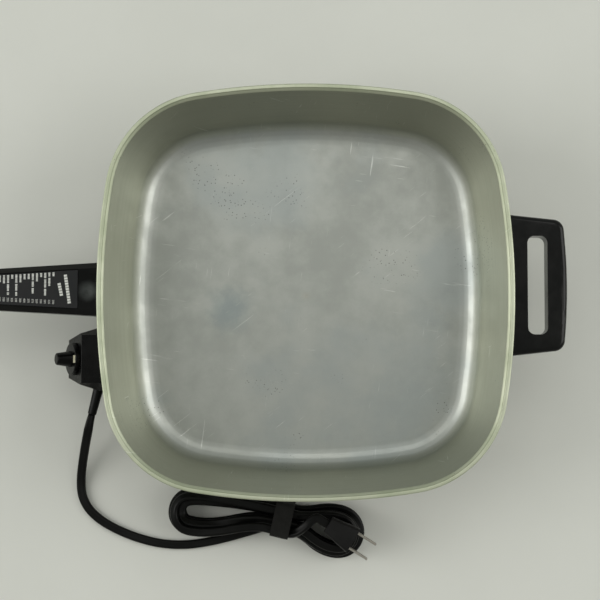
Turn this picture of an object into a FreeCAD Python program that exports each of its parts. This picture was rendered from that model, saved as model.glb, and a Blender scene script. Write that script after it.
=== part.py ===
import FreeCAD, Part
import math
import os
import re

import Sketcher

# A square electric skillet with a long handle, a helper handle, four legs and a plug-in heat control.
# Millimetres, +Z up. Z = 0 is the bottom of the feet, Y = 0 is the middle of the pan, and X = 0 is
# half way between the tip of the long handle and the outer edge of the helper handle.
# Every expression below is written from the middle of the pan, which stands at x = PAN_X.

Vector = FreeCAD.Vector
doc = FreeCAD.newDocument("ElectricSkillet")
sheet = doc.addObject("Spreadsheet::Sheet", "Sizes")

# Driving dimensions
SIZES = {
    # pan casting
    "rim_half": 146.0,
    "rim_height": 106.0,
    "cavity_depth": 63.0,
    "floor_thickness": 5.0,
    "wall_run": 20.0,
    "wall_thickness": 4.0,
    "lip_overhang": 2.2,
    "lip_height": 5.0,
    "rim_band": 2.9,
    "ledge_width": 1.6,
    "ledge_depth": 1.2,
    "side_bow_radius": 485.0,
    "rim_corner_radius": 75.0,
    "floor_fillet": 15.0,
    "base_fillet": 17.0,
    # heating element and its terminals
    "element_radius": 3.5,
    "element_inset": 49.0,
    "element_bend": 24.0,
    "element_drop": 6.0,
    "ridge_width": 13.0,
    "terminal_y": -47.0,
    "terminal_half_pitch": 9.0,
    "pin_radius": 2.4,
    "pin_length": 23.0,
    "boss_inset": 25.0,
    "boss_length": 30.0,
    "boss_half_width": 16.5,
    "boss_half_height": 5.4,
    "insulator_radius": 3.8,
    "insulator_length": 5.0,
    "guard_wall": 1.4,
    "guard_length": 24.0,
    "guard_grip": 14.0,
    "small_screw_radius": 1.25,
    "small_head_radius": 2.8,
    "small_head_height": 1.5,
    # legs
    "leg_inset": 37.0,
    "leg_top_radius": 12.0,
    "leg_foot_radius": 8.5,
    "leg_bore_depth": 20.0,
    "leg_bore_radius": 5.0,
    "screw_radius": 2.0,
    "screw_head_radius": 4.0,
    "screw_head_height": 2.8,
    "thread_depth": 3.6,
    # long handle
    "handle_length": 142.0,
    "handle_gap": 2.0,
    "handle_y": 2.3,
    "handle_root_width": 38.0,
    "handle_tip_width": 22.0,
    "handle_top": 92.0,
    "handle_root_depth": 22.0,
    "handle_tip_depth": 16.0,
    "handle_drop": 5.0,
    "handle_bevel": 4.0,
    "handle_wall": 4.0,
    "handle_end_wall": 9.0,
    "handle_tip_radius": 9.0,
    "hang_hole_radius": 4.0,
    "hang_hole_inset": 13.0,
    "plate_inset": 13.7,
    "plate_length": 88.0,
    "plate_root_width": 27.6,
    "plate_tip_width": 17.9,
    "plate_thickness": 0.8,
    "plate_recess": 1.6,
    "lug_half_width": 13.0,
    "lug_height": 15.0,
    "shield_thickness": 1.2,
    "shield_margin": 2.0,
    # helper handle
    "helper_width": 41.8,
    "helper_tuck": 2.8,
    "helper_y": 4.8,
    "helper_half_length": 50.3,
    "helper_outer_half": 46.0,
    "helper_bow_radius": 420.0,
    "helper_top": 92.0,
    "helper_depth": 14.0,
    "helper_corner": 8.0,
    "helper_edge_round": 3.5,
    "slot_inset": 13.7,
    "slot_width": 14.0,
    "slot_half_length": 34.8,
    "slot_corner": 5.0,
    "helper_lug_half": 26.0,
    "helper_lug_depth": 7.0,
    "helper_lug_run": 11.3,
    "helper_screw_half_pitch": 19.0,
    # heat control
    "guard_overlap": 10.0,
    "shoulder_run": 18.5,
    "top_run": 30.0,
    "nose_run": 44.0,
    "control_rise": 25.0,
    "control_depth": 17.0,
    "control_half_width": 23.5,
    "control_nose_half": 14.2,
    "split_drop": 1.0,
    "control_wall": 2.2,
    "control_bevel": 6.0,
    "control_bevel_height": 11.0,
    "control_screw_run": 27.0,
    "control_screw_half_pitch": 12.6,
    "control_screw_length": 22.0,
    "post_radius": 4.0,
    "post_sink": 4.0,
    "dial_tilt": 30.0,
    "dial_radius": 12.0,
    "dial_thickness": 3.2,
    "dial_gap": 0.4,
    "nub_base_radius": 6.0,
    "nub_tip_radius": 4.3,
    "nub_length": 11.0,
    "dial_shaft_radius": 2.5,
    "dial_shaft_depth": 9.0,
    "clip_radius": 4.4,
    "clip_thickness": 0.8,
    "pointer_width": 5.6,
    "pointer_length": 4.4,
    "pointer_thickness": 0.6,
    "probe_radius": 3.0,
    "probe_bore": 2.2,
    "probe_length": 61.0,
    "probe_rod_radius": 1.4,
    "pointer_start": 6.6,
    "nub_round": 1.2,
    "dial_edge": 0.8,
    "frame_half_width": 16.0,
    "frame_rise": 14.0,
    "blade_rise": 5.0,
    "contact_height": 1.1,
    "frame_gap": 3.0,
    "frame_thickness": 2.0,
    "socket_wall": 1.0,
    "socket_length": 13.0,
    "blade_thickness": 0.8,
    "blade_width": 7.0,
    "blade_length": 10.0,
    "contact_radius": 2.2,
    "relief_run": 22.3,
    "relief_drop": 5.0,
    "relief_radius": 3.8,
    "relief_tip_radius": 3.2,
    "relief_length": 20.0,
    "relief_lean": 14.0,
    "wire_radius": 1.1,
    # clearances
    "fit_clearance": 0.05,
    "body_clearance": 0.3,
    # supply cord, tie and plug
    "cord_diameter": 5.6,
    "cord_lift": 3.0,
    "plug_face_x": 53.0,
    "plug_face_y": -14.6,
    "hank_x": -18.1,
    "hank_gap": 21.4,
    "hank_left": 84.0,
    "hank_right": 60.0,
    "hank_left_half": 15.5,
    "hank_right_half": 17.5,
    "hank_waist_half": 9.0,
    "hank_waist_step": 6.0,
    "hank_step": 6.8,
    "hank_layer": 6.4,
    "tie_width": 14.0,
    "tie_thickness": 1.2,
    "plug_length": 22.0,
    "plug_face_width": 20.0,
    "plug_rear_width": 13.0,
    "plug_depth": 12.0,
    "prong_half_pitch": 6.35,
    "prong_width": 6.4,
    "prong_thickness": 1.5,
    "prong_length": 16.0,
}
# Sizes that follow from them, measured from the middle of the pan
FOLLOWING = {
    "floor_half": "rim_half - wall_run",
    "leg_offset": "floor_half - leg_inset",
    "element_reach": "floor_half - element_inset",
    "terminal_height": "rim_height - cavity_depth - floor_thickness - element_drop",
    "boss_face": "rim_half - boss_inset",
    "pin_tip": "boss_face + pin_length",
    "guard_reach": "boss_face + guard_length",
    "frame_face": "guard_reach + frame_gap",
    "probe_tip": "frame_face - probe_length",
    "handle_root": "rim_half + handle_gap",
    "handle_reach": "handle_root + handle_length",
    "plate_start": "handle_root + plate_inset",
    "helper_inner": "rim_half - helper_tuck",
    "helper_reach": "helper_inner + helper_width",
    "helper_lug_reach": "helper_inner + helper_lug_run",
    "slot_inner": "helper_inner + slot_inset",
    "control_back": "guard_reach - guard_overlap",
    "control_shoulder": "control_back + shoulder_run",
    "control_top_front": "control_back + top_run",
    "control_nose": "control_back + nose_run",
    "control_screw_x": "control_back + control_screw_run",
    "relief_x": "control_back + relief_run",
    "relief_z": "terminal_height - relief_drop",
    "control_top": "terminal_height + control_rise",
    "control_bottom": "terminal_height - control_depth",
    "control_split": "terminal_height - split_drop",
    "frame_top": "terminal_height + frame_rise",
    "blade_height": "terminal_height + blade_rise",
    "hank_y": "-rim_half - hank_gap",
}
for row, (alias, size) in enumerate({**SIZES, **FOLLOWING}.items(), start=1):
    sheet.set(f"A{row}", f"={size}")
    sheet.setAlias(f"A{row}", alias)
doc.recompute()

# Lengths that follow from the sizes, as expressions
PAN_X = "((handle_reach - helper_reach) / 2)"
UNDERSIDE = "(rim_height - cavity_depth - floor_thickness)"
FLOOR_TOP = "(rim_height - cavity_depth)"
BASE_HALF = "(floor_half + wall_thickness)"
WALL_TOP_HALF = "(rim_half - lip_overhang)"
CAVITY_TOP_HALF = "(rim_half - rim_band - ledge_width)"
SPINE_HALF = "(floor_half - floor_fillet - 2)"
DIAL_X = "(-(control_top_front + control_nose) / 2)"
FACE_DROP = "((control_nose - control_top_front) / 2 / tan(dial_tilt))"
DIAL_Z = f"(control_top - {FACE_DROP})"
SIDE_TAPER = "((control_half_width - control_nose_half) / (nose_run - shoulder_run))"
RELIEF_Y = f"(terminal_y - control_half_width + {SIDE_TAPER} * (relief_run - shoulder_run))"
HANDLE_SCREW_Z = "(handle_top - handle_bevel - lug_height / 2)"
HELPER_SCREW_X = "((helper_inner + slot_inner) / 2)"
CORNERS = ((-1, -1), (1, -1), (1, 1), (-1, 1))
NODES = {}
NAMES = {*SIZES, *FOLLOWING}


def formula(text):
    """The expression with each alias turned into a reference to its cell."""
    return re.sub(r"[a-z_]+", lambda word: f"Sizes.{word[0]}" if word[0] in NAMES else word[0], str(text))


def number(text):
    """The present value of an expression."""
    return float(sheet.evalExpression(formula(text)))


def bind(item, **expressions):
    for path, text in expressions.items():
        item.setExpression(path.replace("__", "."), formula(text))
    return item


def place(item, x="0", y="0", z="0"):
    """Stands an item at a point given from the middle of the pan."""
    return bind(item, Placement__Base__x=f"{PAN_X} + ({x})", Placement__Base__y=y, Placement__Base__z=z)


TURNS = {
    "+Z": (Vector(0, 0, 1), 0),
    "-Z": (Vector(1, 0, 0), 180),
    "+X": (Vector(0, 1, 0), 90),
    "-X": (Vector(0, 1, 0), -90),
    "+Y": (Vector(1, 0, 0), -90),
    "-Y": (Vector(1, 0, 0), 90),
}


def turn(item, way):
    """Points an item's own Z along a row axis, along the dial's axis or along the strain relief."""
    if way == "relief":
        lean = FreeCAD.Rotation(Vector(0, 0, 1), -number("relief_lean"))
        item.Placement.Rotation = lean * FreeCAD.Rotation(*TURNS["-Y"])
    elif way == "dial":
        item.Placement.Rotation = FreeCAD.Rotation(Vector(0, 1, 0), -1)
        item.setExpression("Placement.Rotation.Angle", formula("dial_tilt - 90"))
    else:
        item.Placement.Rotation = FreeCAD.Rotation(*TURNS[way])
    return item


def cylinder(name, radius, height, x, y, z, way="+Z"):
    item = bind(doc.addObject("Part::Cylinder", name), Radius=radius, Height=height)
    return place(turn(item, way), x, y, z)


def cone(name, radius, end_radius, height, x, y, z, way="+Z"):
    item = bind(doc.addObject("Part::Cone", name), Radius1=radius, Radius2=end_radius, Height=height)
    return place(turn(item, way), x, y, z)


def box(name, low, high):
    """A box from its low corner to its high corner."""
    item = doc.addObject("Part::Box", name)
    for side, start, end in zip(("Length", "Width", "Height"), low, high):
        item.setExpression(side, formula(f"({end}) - ({start})"))
    return place(item, *low)


def joined(name, *items):
    item = doc.addObject("Part::MultiFuse", name)
    item.Shapes = list(items)
    item.Refine = True
    return item


def cut(name, base, tool):
    item = doc.addObject("Part::Cut", name)
    item.Base = base
    item.Tool = tool
    return item


def common(name, first, second):
    item = doc.addObject("Part::Common", name)
    item.Base = first
    item.Tool = second
    return item


def group(name, *items):
    """Separate solids that share a node."""
    item = doc.addObject("Part::Compound", name)
    item.Links = list(items)
    return item


def rounded(name, base, radius, chosen):
    """A fillet on the edges that a test picks."""
    doc.recompute()
    item = doc.addObject("Part::Fillet", name)
    item.Base = base
    size = number(radius)
    item.Edges = [(k, size, size) for k, edge in enumerate(base.Shape.Edges, start=1) if chosen(edge)]
    return item


def part_shape(name, shape):
    item = doc.addObject("Part::Feature", name)
    item.Shape = shape
    return item


def node(name, item):
    """Registers a finished sub-part under its own label."""
    item.Label = name
    NODES[name] = item
    return item


def along(edge, axis):
    """Whether an edge is straight and runs along an axis."""
    ends = [vertex.Point for vertex in edge.Vertexes]
    if len(ends) < 2 or not isinstance(edge.Curve, (Part.Line, Part.LineSegment)):
        return False
    span = ends[1] - ends[0]
    return span.Length > 0.5 and abs(abs(span.normalize().dot(axis)) - 1) < 1e-4


PLANES = {
    "XY": FreeCAD.Rotation(),
    "XZ": FreeCAD.Rotation(Vector(1, 0, 0), 90),
    "YZ": FreeCAD.Rotation(Vector(1, 1, 1), 120),
}


def outline(name, plane, corners, bows=None, offset="0"):
    """A closed sketch through corners in order, whose edges named in bows are arcs that bulge outwards."""
    bows = bows or {}
    sketch = doc.addObject("Sketcher::SketchObject", name)
    points = [Vector(number(x), number(y), 0) for x, y in corners]
    for k, start in enumerate(points):
        end = points[(k + 1) % len(points)]
        if k in bows:
            radius = number(bows[k])
            half = (end - start) / 2
            side = Vector(half.y, -half.x, 0).normalize()
            rise = radius - math.sqrt(radius**2 - half.Length**2)
            edge = Part.Arc(start, start + half + side * rise, end)
        else:
            edge = Part.LineSegment(start, end)
        sketch.addGeometry(edge)
    ends = {}
    for k in range(len(points)):
        arc = k in bows
        circle = sketch.Geometry[k]
        swapped = arc and (circle.StartPoint - points[k]).Length > 1e-6
        ends[k] = (2, 1) if swapped else (1, 2)
    for k, (x, y) in enumerate(corners):
        following = (k + 1) % len(points)
        sketch.addConstraint(Sketcher.Constraint("Coincident", k, ends[k][1], following, ends[following][0]))
        for kind, text in (("DistanceX", x), ("DistanceY", y)):
            rule = Sketcher.Constraint(kind, -1, 1, k, ends[k][0], number(text))
            at = sketch.addConstraint(rule)
            sketch.setExpression(f"Constraints[{at}]", formula(text))
        if k in bows:
            at = sketch.addConstraint(Sketcher.Constraint("Radius", k, number(bows[k])))
            sketch.setExpression(f"Constraints[{at}]", formula(bows[k]))
    sketch.Placement.Rotation = PLANES[plane]
    where = {"XY": ("0", "0", offset), "XZ": ("0", offset, "0"), "YZ": (offset, "0", "0")}[plane]
    return place(sketch, *where)


def extruded(name, sketch, forward, backward="0"):
    item = doc.addObject("Part::Extrusion", name)
    item.Base = sketch
    item.DirMode = "Normal"
    item.Solid = True
    return bind(item, LengthFwd=forward, LengthRev=backward)


def lofted(name, *sketches):
    item = doc.addObject("Part::Loft", name)
    item.Sections = list(sketches)
    item.Solid = True
    item.Ruled = True
    return item


# Pan casting: bowed squares joined by tangent corner arcs, all of them offsets of the rim
def bowed_square_radii(half):
    """The side and corner radii of the outline that lies this far out, parallel to the rim's."""
    inset = number("rim_half") - half
    return number("side_bow_radius") - inset, number("rim_corner_radius") - inset


def bowed_square_arcs(half):
    """The four side arcs and four corner arcs as (centre, radius, start angle, end angle)."""
    bow, radius = bowed_square_radii(half)
    centre = half - bow
    middle = (centre + math.sqrt(2 * (bow - radius) ** 2 - centre**2)) / 2
    sweep = math.atan2(middle, middle - centre)
    arcs = []
    for side in range(4):
        quarter, diagonal = side * math.pi / 2, (side + 0.5) * math.pi / 2
        arcs.append(
            (Vector(math.cos(quarter), math.sin(quarter), 0) * centre, bow, quarter - sweep, quarter + sweep)
        )
        corner = Vector(math.cos(diagonal), math.sin(diagonal), 0) * middle * math.sqrt(2)
        arcs.append((corner, radius, quarter + sweep, quarter + math.pi / 2 - sweep))
    return arcs


def spine_wire(half, height):
    """The bowed square as a closed wire that starts in the middle of its +X side."""
    arcs = bowed_square_arcs(half)
    centre, radius, start, end = arcs[0]
    arcs = [(centre, radius, 0, end), *arcs[1:], (centre, radius, start, 0)]
    move = Vector(number(PAN_X), 0, height)
    edges = []
    for centre, radius, start, end in arcs:
        circle = Part.Circle(centre + move, Vector(0, 0, 1), radius)
        edges.append(Part.ArcOfCircle(circle, start, end).toShape())
    return Part.Wire(edges)


def bowed_plate(name, half, low, depth):
    """A flat plate with the bowed square outline, padded from a constrained sketch."""
    body = doc.addObject("PartDesign::Body", name)
    sketch = body.newObject("Sketcher::SketchObject", name + "Outline")
    sketch.AttachmentSupport = (next(p for p in body.Origin.OriginFeatures if p.Role == "XY_Plane"), [""])
    sketch.MapMode = "FlatFace"
    sketch.setExpression("AttachmentOffset.Base.z", formula(low))
    for centre, radius, start, end in bowed_square_arcs(number(half)):
        sketch.addGeometry(Part.ArcOfCircle(Part.Circle(centre, Vector(0, 0, 1), radius), start, end))
    for k in range(8):
        sketch.addConstraint(Sketcher.Constraint("Tangent", k, 2, (k + 1) % 8, 1))
    bow_text = f"(side_bow_radius - rim_half + {half})"
    corner_text = f"(rim_corner_radius - rim_half + {half})"
    for side in range(4):
        edge, sign = 2 * side, 1 if side < 2 else -1
        sketch.addConstraint(Sketcher.Constraint("PointOnObject", edge, 3, -1 if side % 2 == 0 else -2))
        kind = "DistanceX" if side % 2 == 0 else "DistanceY"
        shift = f"{sign} * ({half} - {bow_text})"
        rules = (
            (Sketcher.Constraint(kind, -1, 1, edge, 3, number(shift)), shift),
            (Sketcher.Constraint("Radius", edge, number(bow_text)), bow_text),
            (Sketcher.Constraint("Radius", edge + 1, number(corner_text)), corner_text),
        )
        for rule, text in rules:
            at = sketch.addConstraint(rule)
            sketch.setExpression(f"Constraints[{at}]", formula(text))
    pad = body.newObject("PartDesign::Pad", name + "Pad")
    pad.Profile = sketch
    pad.setExpression("Length", formula(depth))
    body.Tip = pad
    return place(body)


def rounded_polygon(points, radii):
    """A closed wire through points whose corners named in radii are tangent arcs."""
    edges, count = [], len(points)
    starts, ends = {}, {}
    for k, point in enumerate(points):
        before, after = point - points[k - 1], points[(k + 1) % count] - point
        if k not in radii:
            starts[k] = ends[k] = point
            continue
        bend = before.getAngle(after)
        run = radii[k] * math.tan(bend / 2)
        starts[k] = point - before.normalize() * run
        ends[k] = point + after.normalize() * run
        inward = ((starts[k] + ends[k]) / 2 - point).normalize()
        middle = point + inward * (radii[k] / math.cos(bend / 2) - radii[k])
        edges.append(Part.Arc(starts[k], middle, ends[k]).toShape())
    for k in range(count):
        edges.append(Part.LineSegment(ends[k], starts[(k + 1) % count]).toShape())
    return Part.Wire(Part.__sortEdges__(edges))


def wall_section():
    """The pan wall's section at its +X side: floor edge, flared wall, lip and lid ledge."""
    inner, floor = number(SPINE_HALF), number(FLOOR_TOP)
    low, top = number(UNDERSIDE), number("rim_height")
    lip_low, ledge = number("rim_height - lip_height"), number("rim_height - ledge_depth")
    rim, band = number("rim_half"), number("rim_half - rim_band")
    corners = [
        (inner, low),
        (number(BASE_HALF), low),
        (number(WALL_TOP_HALF), lip_low),
        (rim, lip_low),
        (rim, top),
        (band, top),
        (band, ledge),
        (number(CAVITY_TOP_HALF), ledge),
        (number("floor_half"), floor),
        (inner, floor),
    ]
    points = [at_pan(x, 0, z) for x, z in corners]
    return rounded_polygon(points, {1: number("base_fillet"), 4: 0.8, 8: number("floor_fillet")})


def wall_middle(height):
    """How far out the middle of the pan's wall is at a height."""
    return f"(floor_half + wall_thickness / 2 + ({CAVITY_TOP_HALF} - floor_half) * (({height}) - {FLOOR_TOP}) / cavity_depth)"


def wall_lug(name, side, reach, low, high, middle, half):
    """A cast lug that grows out of the middle of the wall."""
    corners = [
        (f"{side} * {wall_middle(low)}", low),
        (f"{side} * ({reach})", low),
        (f"{side} * ({reach})", high),
        (f"{side} * {wall_middle(high)}", high),
    ]
    sketch = outline(name + "Section", "XZ", corners, offset=middle)
    return extruded(name, sketch, half, half)


def route_wire(points, largest=None, share=0.45):
    """Straight runs joined by tangent arcs, each as large as its two runs allow or as the largest given."""
    edges, smallest = [], []
    start = points[0]
    for k in range(1, len(points) - 1):
        before, after = points[k] - points[k - 1], points[k + 1] - points[k]
        bend = before.getAngle(after)
        run = share * min(before.Length, after.Length)
        if largest is not None:
            run = min(run, largest * math.tan(bend / 2))
        smallest.append(run / math.tan(bend / 2))
        enter = points[k] - before.normalize() * run
        leave = points[k] + after.normalize() * run
        chord = (enter + leave) / 2
        inward = chord - points[k]
        reach = inward.Length
        bulge = smallest[-1] / math.cos(bend / 2) - smallest[-1]
        edges.append(Part.LineSegment(start, enter).toShape())
        edges.append(Part.Arc(enter, points[k] + inward * (bulge / reach), leave).toShape())
        start = leave
    edges.append(Part.LineSegment(start, points[-1]).toShape())
    return Part.Wire(edges), smallest


def tube(wire, radius):
    """A solid tube along a wire."""
    edge = wire.Edges[0]
    circle = Part.Circle(edge.valueAt(edge.FirstParameter), edge.tangentAt(edge.FirstParameter), radius)
    return wire.makePipeShell([Part.Wire(circle.toShape())], True, False)


def at_pan(x, y, z):
    """A point given from the middle of the pan."""
    return Vector(number(PAN_X) + x, y, z)


def element_wire():
    """The element's horseshoe, from one terminal round under the floor to the other."""
    end, reach = -number("boss_face"), number("element_reach")
    middle, half, height = number("terminal_y"), number("terminal_half_pitch"), number("terminal_height")
    corners = [
        (end, middle - half),
        (-reach, middle - half),
        (-reach, -reach),
        (reach, -reach),
        (reach, reach),
        (-reach, reach),
        (-reach, middle + half),
        (end, middle + half),
    ]
    points = [at_pan(x, y, height) for x, y in corners]
    return route_wire(points, number("element_bend"))[0]


element_path = element_wire()


def ridge_shape():
    """The cast ridge that holds the upper half of the element."""
    half, low, high = number("ridge_width") / 2, number("terminal_height"), number(FLOOR_TOP) - 2
    start = element_path.Edges[0].valueAt(element_path.Edges[0].FirstParameter)
    corners = [
        Vector(start.x, start.y + a * half, z) for a, z in ((-1, low), (1, low), (1, high), (-1, high))
    ]
    section = Part.makePolygon(corners + corners[:1])
    return element_path.makePipeShell([section], True, False)


def make_pan():
    wall = spine_wire(number(SPINE_HALF), number(UNDERSIDE)).makePipeShell([wall_section()], True, False)
    wall = part_shape("PanWall", wall)
    floor = bowed_plate("PanFloor", f"({SPINE_HALF} + 1)", UNDERSIDE, "floor_thickness")
    ridge = part_shape("PanRidge", ridge_shape())
    boss = box(
        "PanBoss",
        ("-boss_face", "terminal_y - boss_half_width", "terminal_height - boss_half_height"),
        ("-boss_face + boss_length", "terminal_y + boss_half_width", f"{FLOOR_TOP} - 2"),
    )
    lug_top = "(handle_top - handle_bevel)"
    handle_lug = wall_lug(
        "PanHandleLug",
        -1,
        "handle_root - shield_thickness",
        f"({lug_top} - lug_height)",
        lug_top,
        "handle_y",
        "lug_half_width",
    )
    lug_top = "(helper_top - helper_depth)"
    helper_lug = wall_lug(
        "PanHelperLug", 1, "helper_lug_reach", f"({lug_top} - helper_lug_depth)", lug_top, "helper_y", "helper_lug_half"
    )
    groove = part_shape("PanGroove", tube(element_path, number("element_radius + fit_clearance")))
    probe_bore = cylinder(
        "PanProbeBore",
        "probe_radius + body_clearance",
        "boss_face - probe_tip + 3",
        "-boss_face - 1",
        "terminal_y",
        "terminal_height",
        "+X",
    )
    holes = [
        cylinder(
            f"PanLegHole{k}",
            "screw_radius + fit_clearance",
            "thread_depth + 1",
            f"{sx} * leg_offset",
            f"{sy} * leg_offset",
            f"{UNDERSIDE} - 1",
        )
        for k, (sx, sy) in enumerate(CORNERS)
    ]
    holes += [
        cylinder(
            f"PanGuardHole{k}",
            "small_screw_radius + fit_clearance",
            "3.5",
            "-boss_face + guard_grip / 2",
            f"terminal_y + {side} * (boss_half_width - 3.2)",
            "terminal_height",
            way,
        )
        for k, (side, way) in enumerate(((-1, "-Y"), (1, "+Y")))
    ]
    holes.append(
        cylinder(
            "PanHandleHole",
            "screw_radius + fit_clearance",
            "11",
            "-handle_root + shield_thickness - 1",
            "handle_y",
            HANDLE_SCREW_Z,
            "+X",
        )
    )
    holes += [
        cylinder(
            f"PanHelperHole{k}",
            "screw_radius + fit_clearance",
            "helper_lug_depth + 2",
            HELPER_SCREW_X,
            f"helper_y + {side} * helper_screw_half_pitch",
            "helper_top - helper_depth - helper_lug_depth - 1",
        )
        for k, side in enumerate((-1, 1))
    ]
    solid = joined("PanSolid", wall, floor, ridge, boss, handle_lug, helper_lug)
    return node("pan", cut("Pan", solid, joined("PanVoid", groove, probe_bore, *holes)))


def screw(name, radius, head_radius, head_height, length, x, y, z, way):
    """A pan-head screw: its head starts at the point and its shank runs on along the way."""
    head = cylinder(name + "Head", head_radius, head_height, x, y, z, way)
    back = {"+Z": (0, 0, 1), "+X": (1, 0, 0), "+Y": (0, 1, 0), "-Y": (0, -1, 0)}[way]
    start = [f"({t}) + {s} * ({head_height})" for t, s in zip((x, y, z), back)]
    shank = cylinder(name + "Shank", radius, length, *start, way)
    return joined(name, head, shank)


# Heating element, its terminals and their guard
def make_element():
    node("heating_element", part_shape("HeatingElement", tube(element_path, number("element_radius"))))
    pins, rings = [], []
    for k, side in enumerate((-1, 1)):
        y = f"terminal_y + {side} * terminal_half_pitch"
        pins.append(
            cylinder(f"Pin{k}", "pin_radius", "pin_tip - boss_face", "-pin_tip", y, "terminal_height", "+X")
        )
        ring = cylinder(
            f"Ring{k}",
            "insulator_radius",
            "insulator_length",
            "-boss_face - insulator_length",
            y,
            "terminal_height",
            "+X",
        )
        bore = cylinder(
            f"RingBore{k}",
            "pin_radius + fit_clearance",
            "insulator_length + 2",
            "-boss_face - insulator_length - 1",
            y,
            "terminal_height",
            "+X",
        )
        rings.append(cut(f"Insulator{k}", ring, bore))
    node("terminal_pins", group("TerminalPins", *pins))
    node("terminal_insulators", group("TerminalInsulators", *rings))
    low = "terminal_height - boss_half_height - fit_clearance"
    high = "terminal_height + boss_half_height - guard_wall"
    half = "(boss_half_width + fit_clearance)"
    outer = box(
        "GuardOuter",
        ("-guard_reach", f"terminal_y - {half} - guard_wall", f"{low} - guard_wall"),
        ("-boss_face + guard_grip", f"terminal_y + {half} + guard_wall", f"{high} + guard_wall"),
    )
    inner = box(
        "GuardInner",
        ("-guard_reach - 1", f"terminal_y - {half}", low),
        ("-boss_face + guard_grip + 1", f"terminal_y + {half}", high),
    )
    notch = box(
        "GuardNotch",
        ("-boss_face - 0.5", f"terminal_y - {half} - guard_wall - 1", f"{high} - 0.5"),
        ("-boss_face + guard_grip + 1", f"terminal_y + {half} + guard_wall + 1", f"{high} + guard_wall + 1"),
    )
    holes = [
        cylinder(
            f"GuardHole{k}",
            "small_screw_radius + fit_clearance",
            "guard_wall + 2",
            "-boss_face + guard_grip / 2",
            f"terminal_y + {side} * (boss_half_width - 1)",
            "terminal_height",
            way,
        )
        for k, (side, way) in enumerate(((-1, "-Y"), (1, "+Y")))
    ]
    shell = cut("TerminalGuard", outer, joined("GuardVoid", inner, notch, *holes))
    node("terminal_guard", shell)
    screws = [
        screw(
            f"GuardScrew{k}",
            "small_screw_radius",
            "small_head_radius",
            "small_head_height",
            "guard_wall + 3",
            "-boss_face + guard_grip / 2",
            f"terminal_y + {side} * ({half} + guard_wall + small_head_height)",
            "terminal_height",
            way,
        )
        for k, (side, way) in enumerate(((-1, "+Y"), (1, "-Y")))
    ]
    node("guard_screws", group("GuardScrews", *screws))


# Legs
def make_legs():
    names = ("leg_front_left", "leg_front_right", "leg_back_right", "leg_back_left")
    screws = []
    for k, ((sx, sy), name) in enumerate(zip(CORNERS, names)):
        x, y = f"{sx} * leg_offset", f"{sy} * leg_offset"
        post = cone(f"LegPost{k}", "leg_foot_radius", "leg_top_radius", UNDERSIDE, x, y, "0")
        bore = cylinder(f"LegBore{k}", "leg_bore_radius", "leg_bore_depth", x, y, "0")
        hole = cylinder(f"LegHole{k}", "screw_radius + fit_clearance", f"{UNDERSIDE} + 1", x, y, "0")
        node(name, cut(f"Leg{k}", post, joined(f"LegVoid{k}", bore, hole)))
        screws.append(
            screw(
                f"LegScrew{k}",
                "screw_radius",
                "screw_head_radius",
                "screw_head_height",
                f"{UNDERSIDE} - leg_bore_depth + thread_depth - 0.4",
                x,
                y,
                "leg_bore_depth - screw_head_height",
                "+Z",
            )
        )
    node("leg_screws", group("LegScrews", *screws))


# Long handle
def handle_section(name, at, width, depth, top, bevel, inset="0"):
    """A cross-section of the long handle with bevelled upper edges."""
    half = f"({width} / 2 - ({inset}))"
    low, high = f"{top} - {depth}", f"{top} - ({inset})"
    corners = [
        (f"handle_y - {half}", low),
        (f"handle_y + {half}", low),
        (f"handle_y + {half}", f"{high} - {bevel}"),
        (f"handle_y + {half} - {bevel}", high),
        (f"handle_y - {half} + {bevel}", high),
        (f"handle_y - {half}", f"{high} - {bevel}"),
    ]
    return outline(name, "YZ", corners, offset=at)


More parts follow.
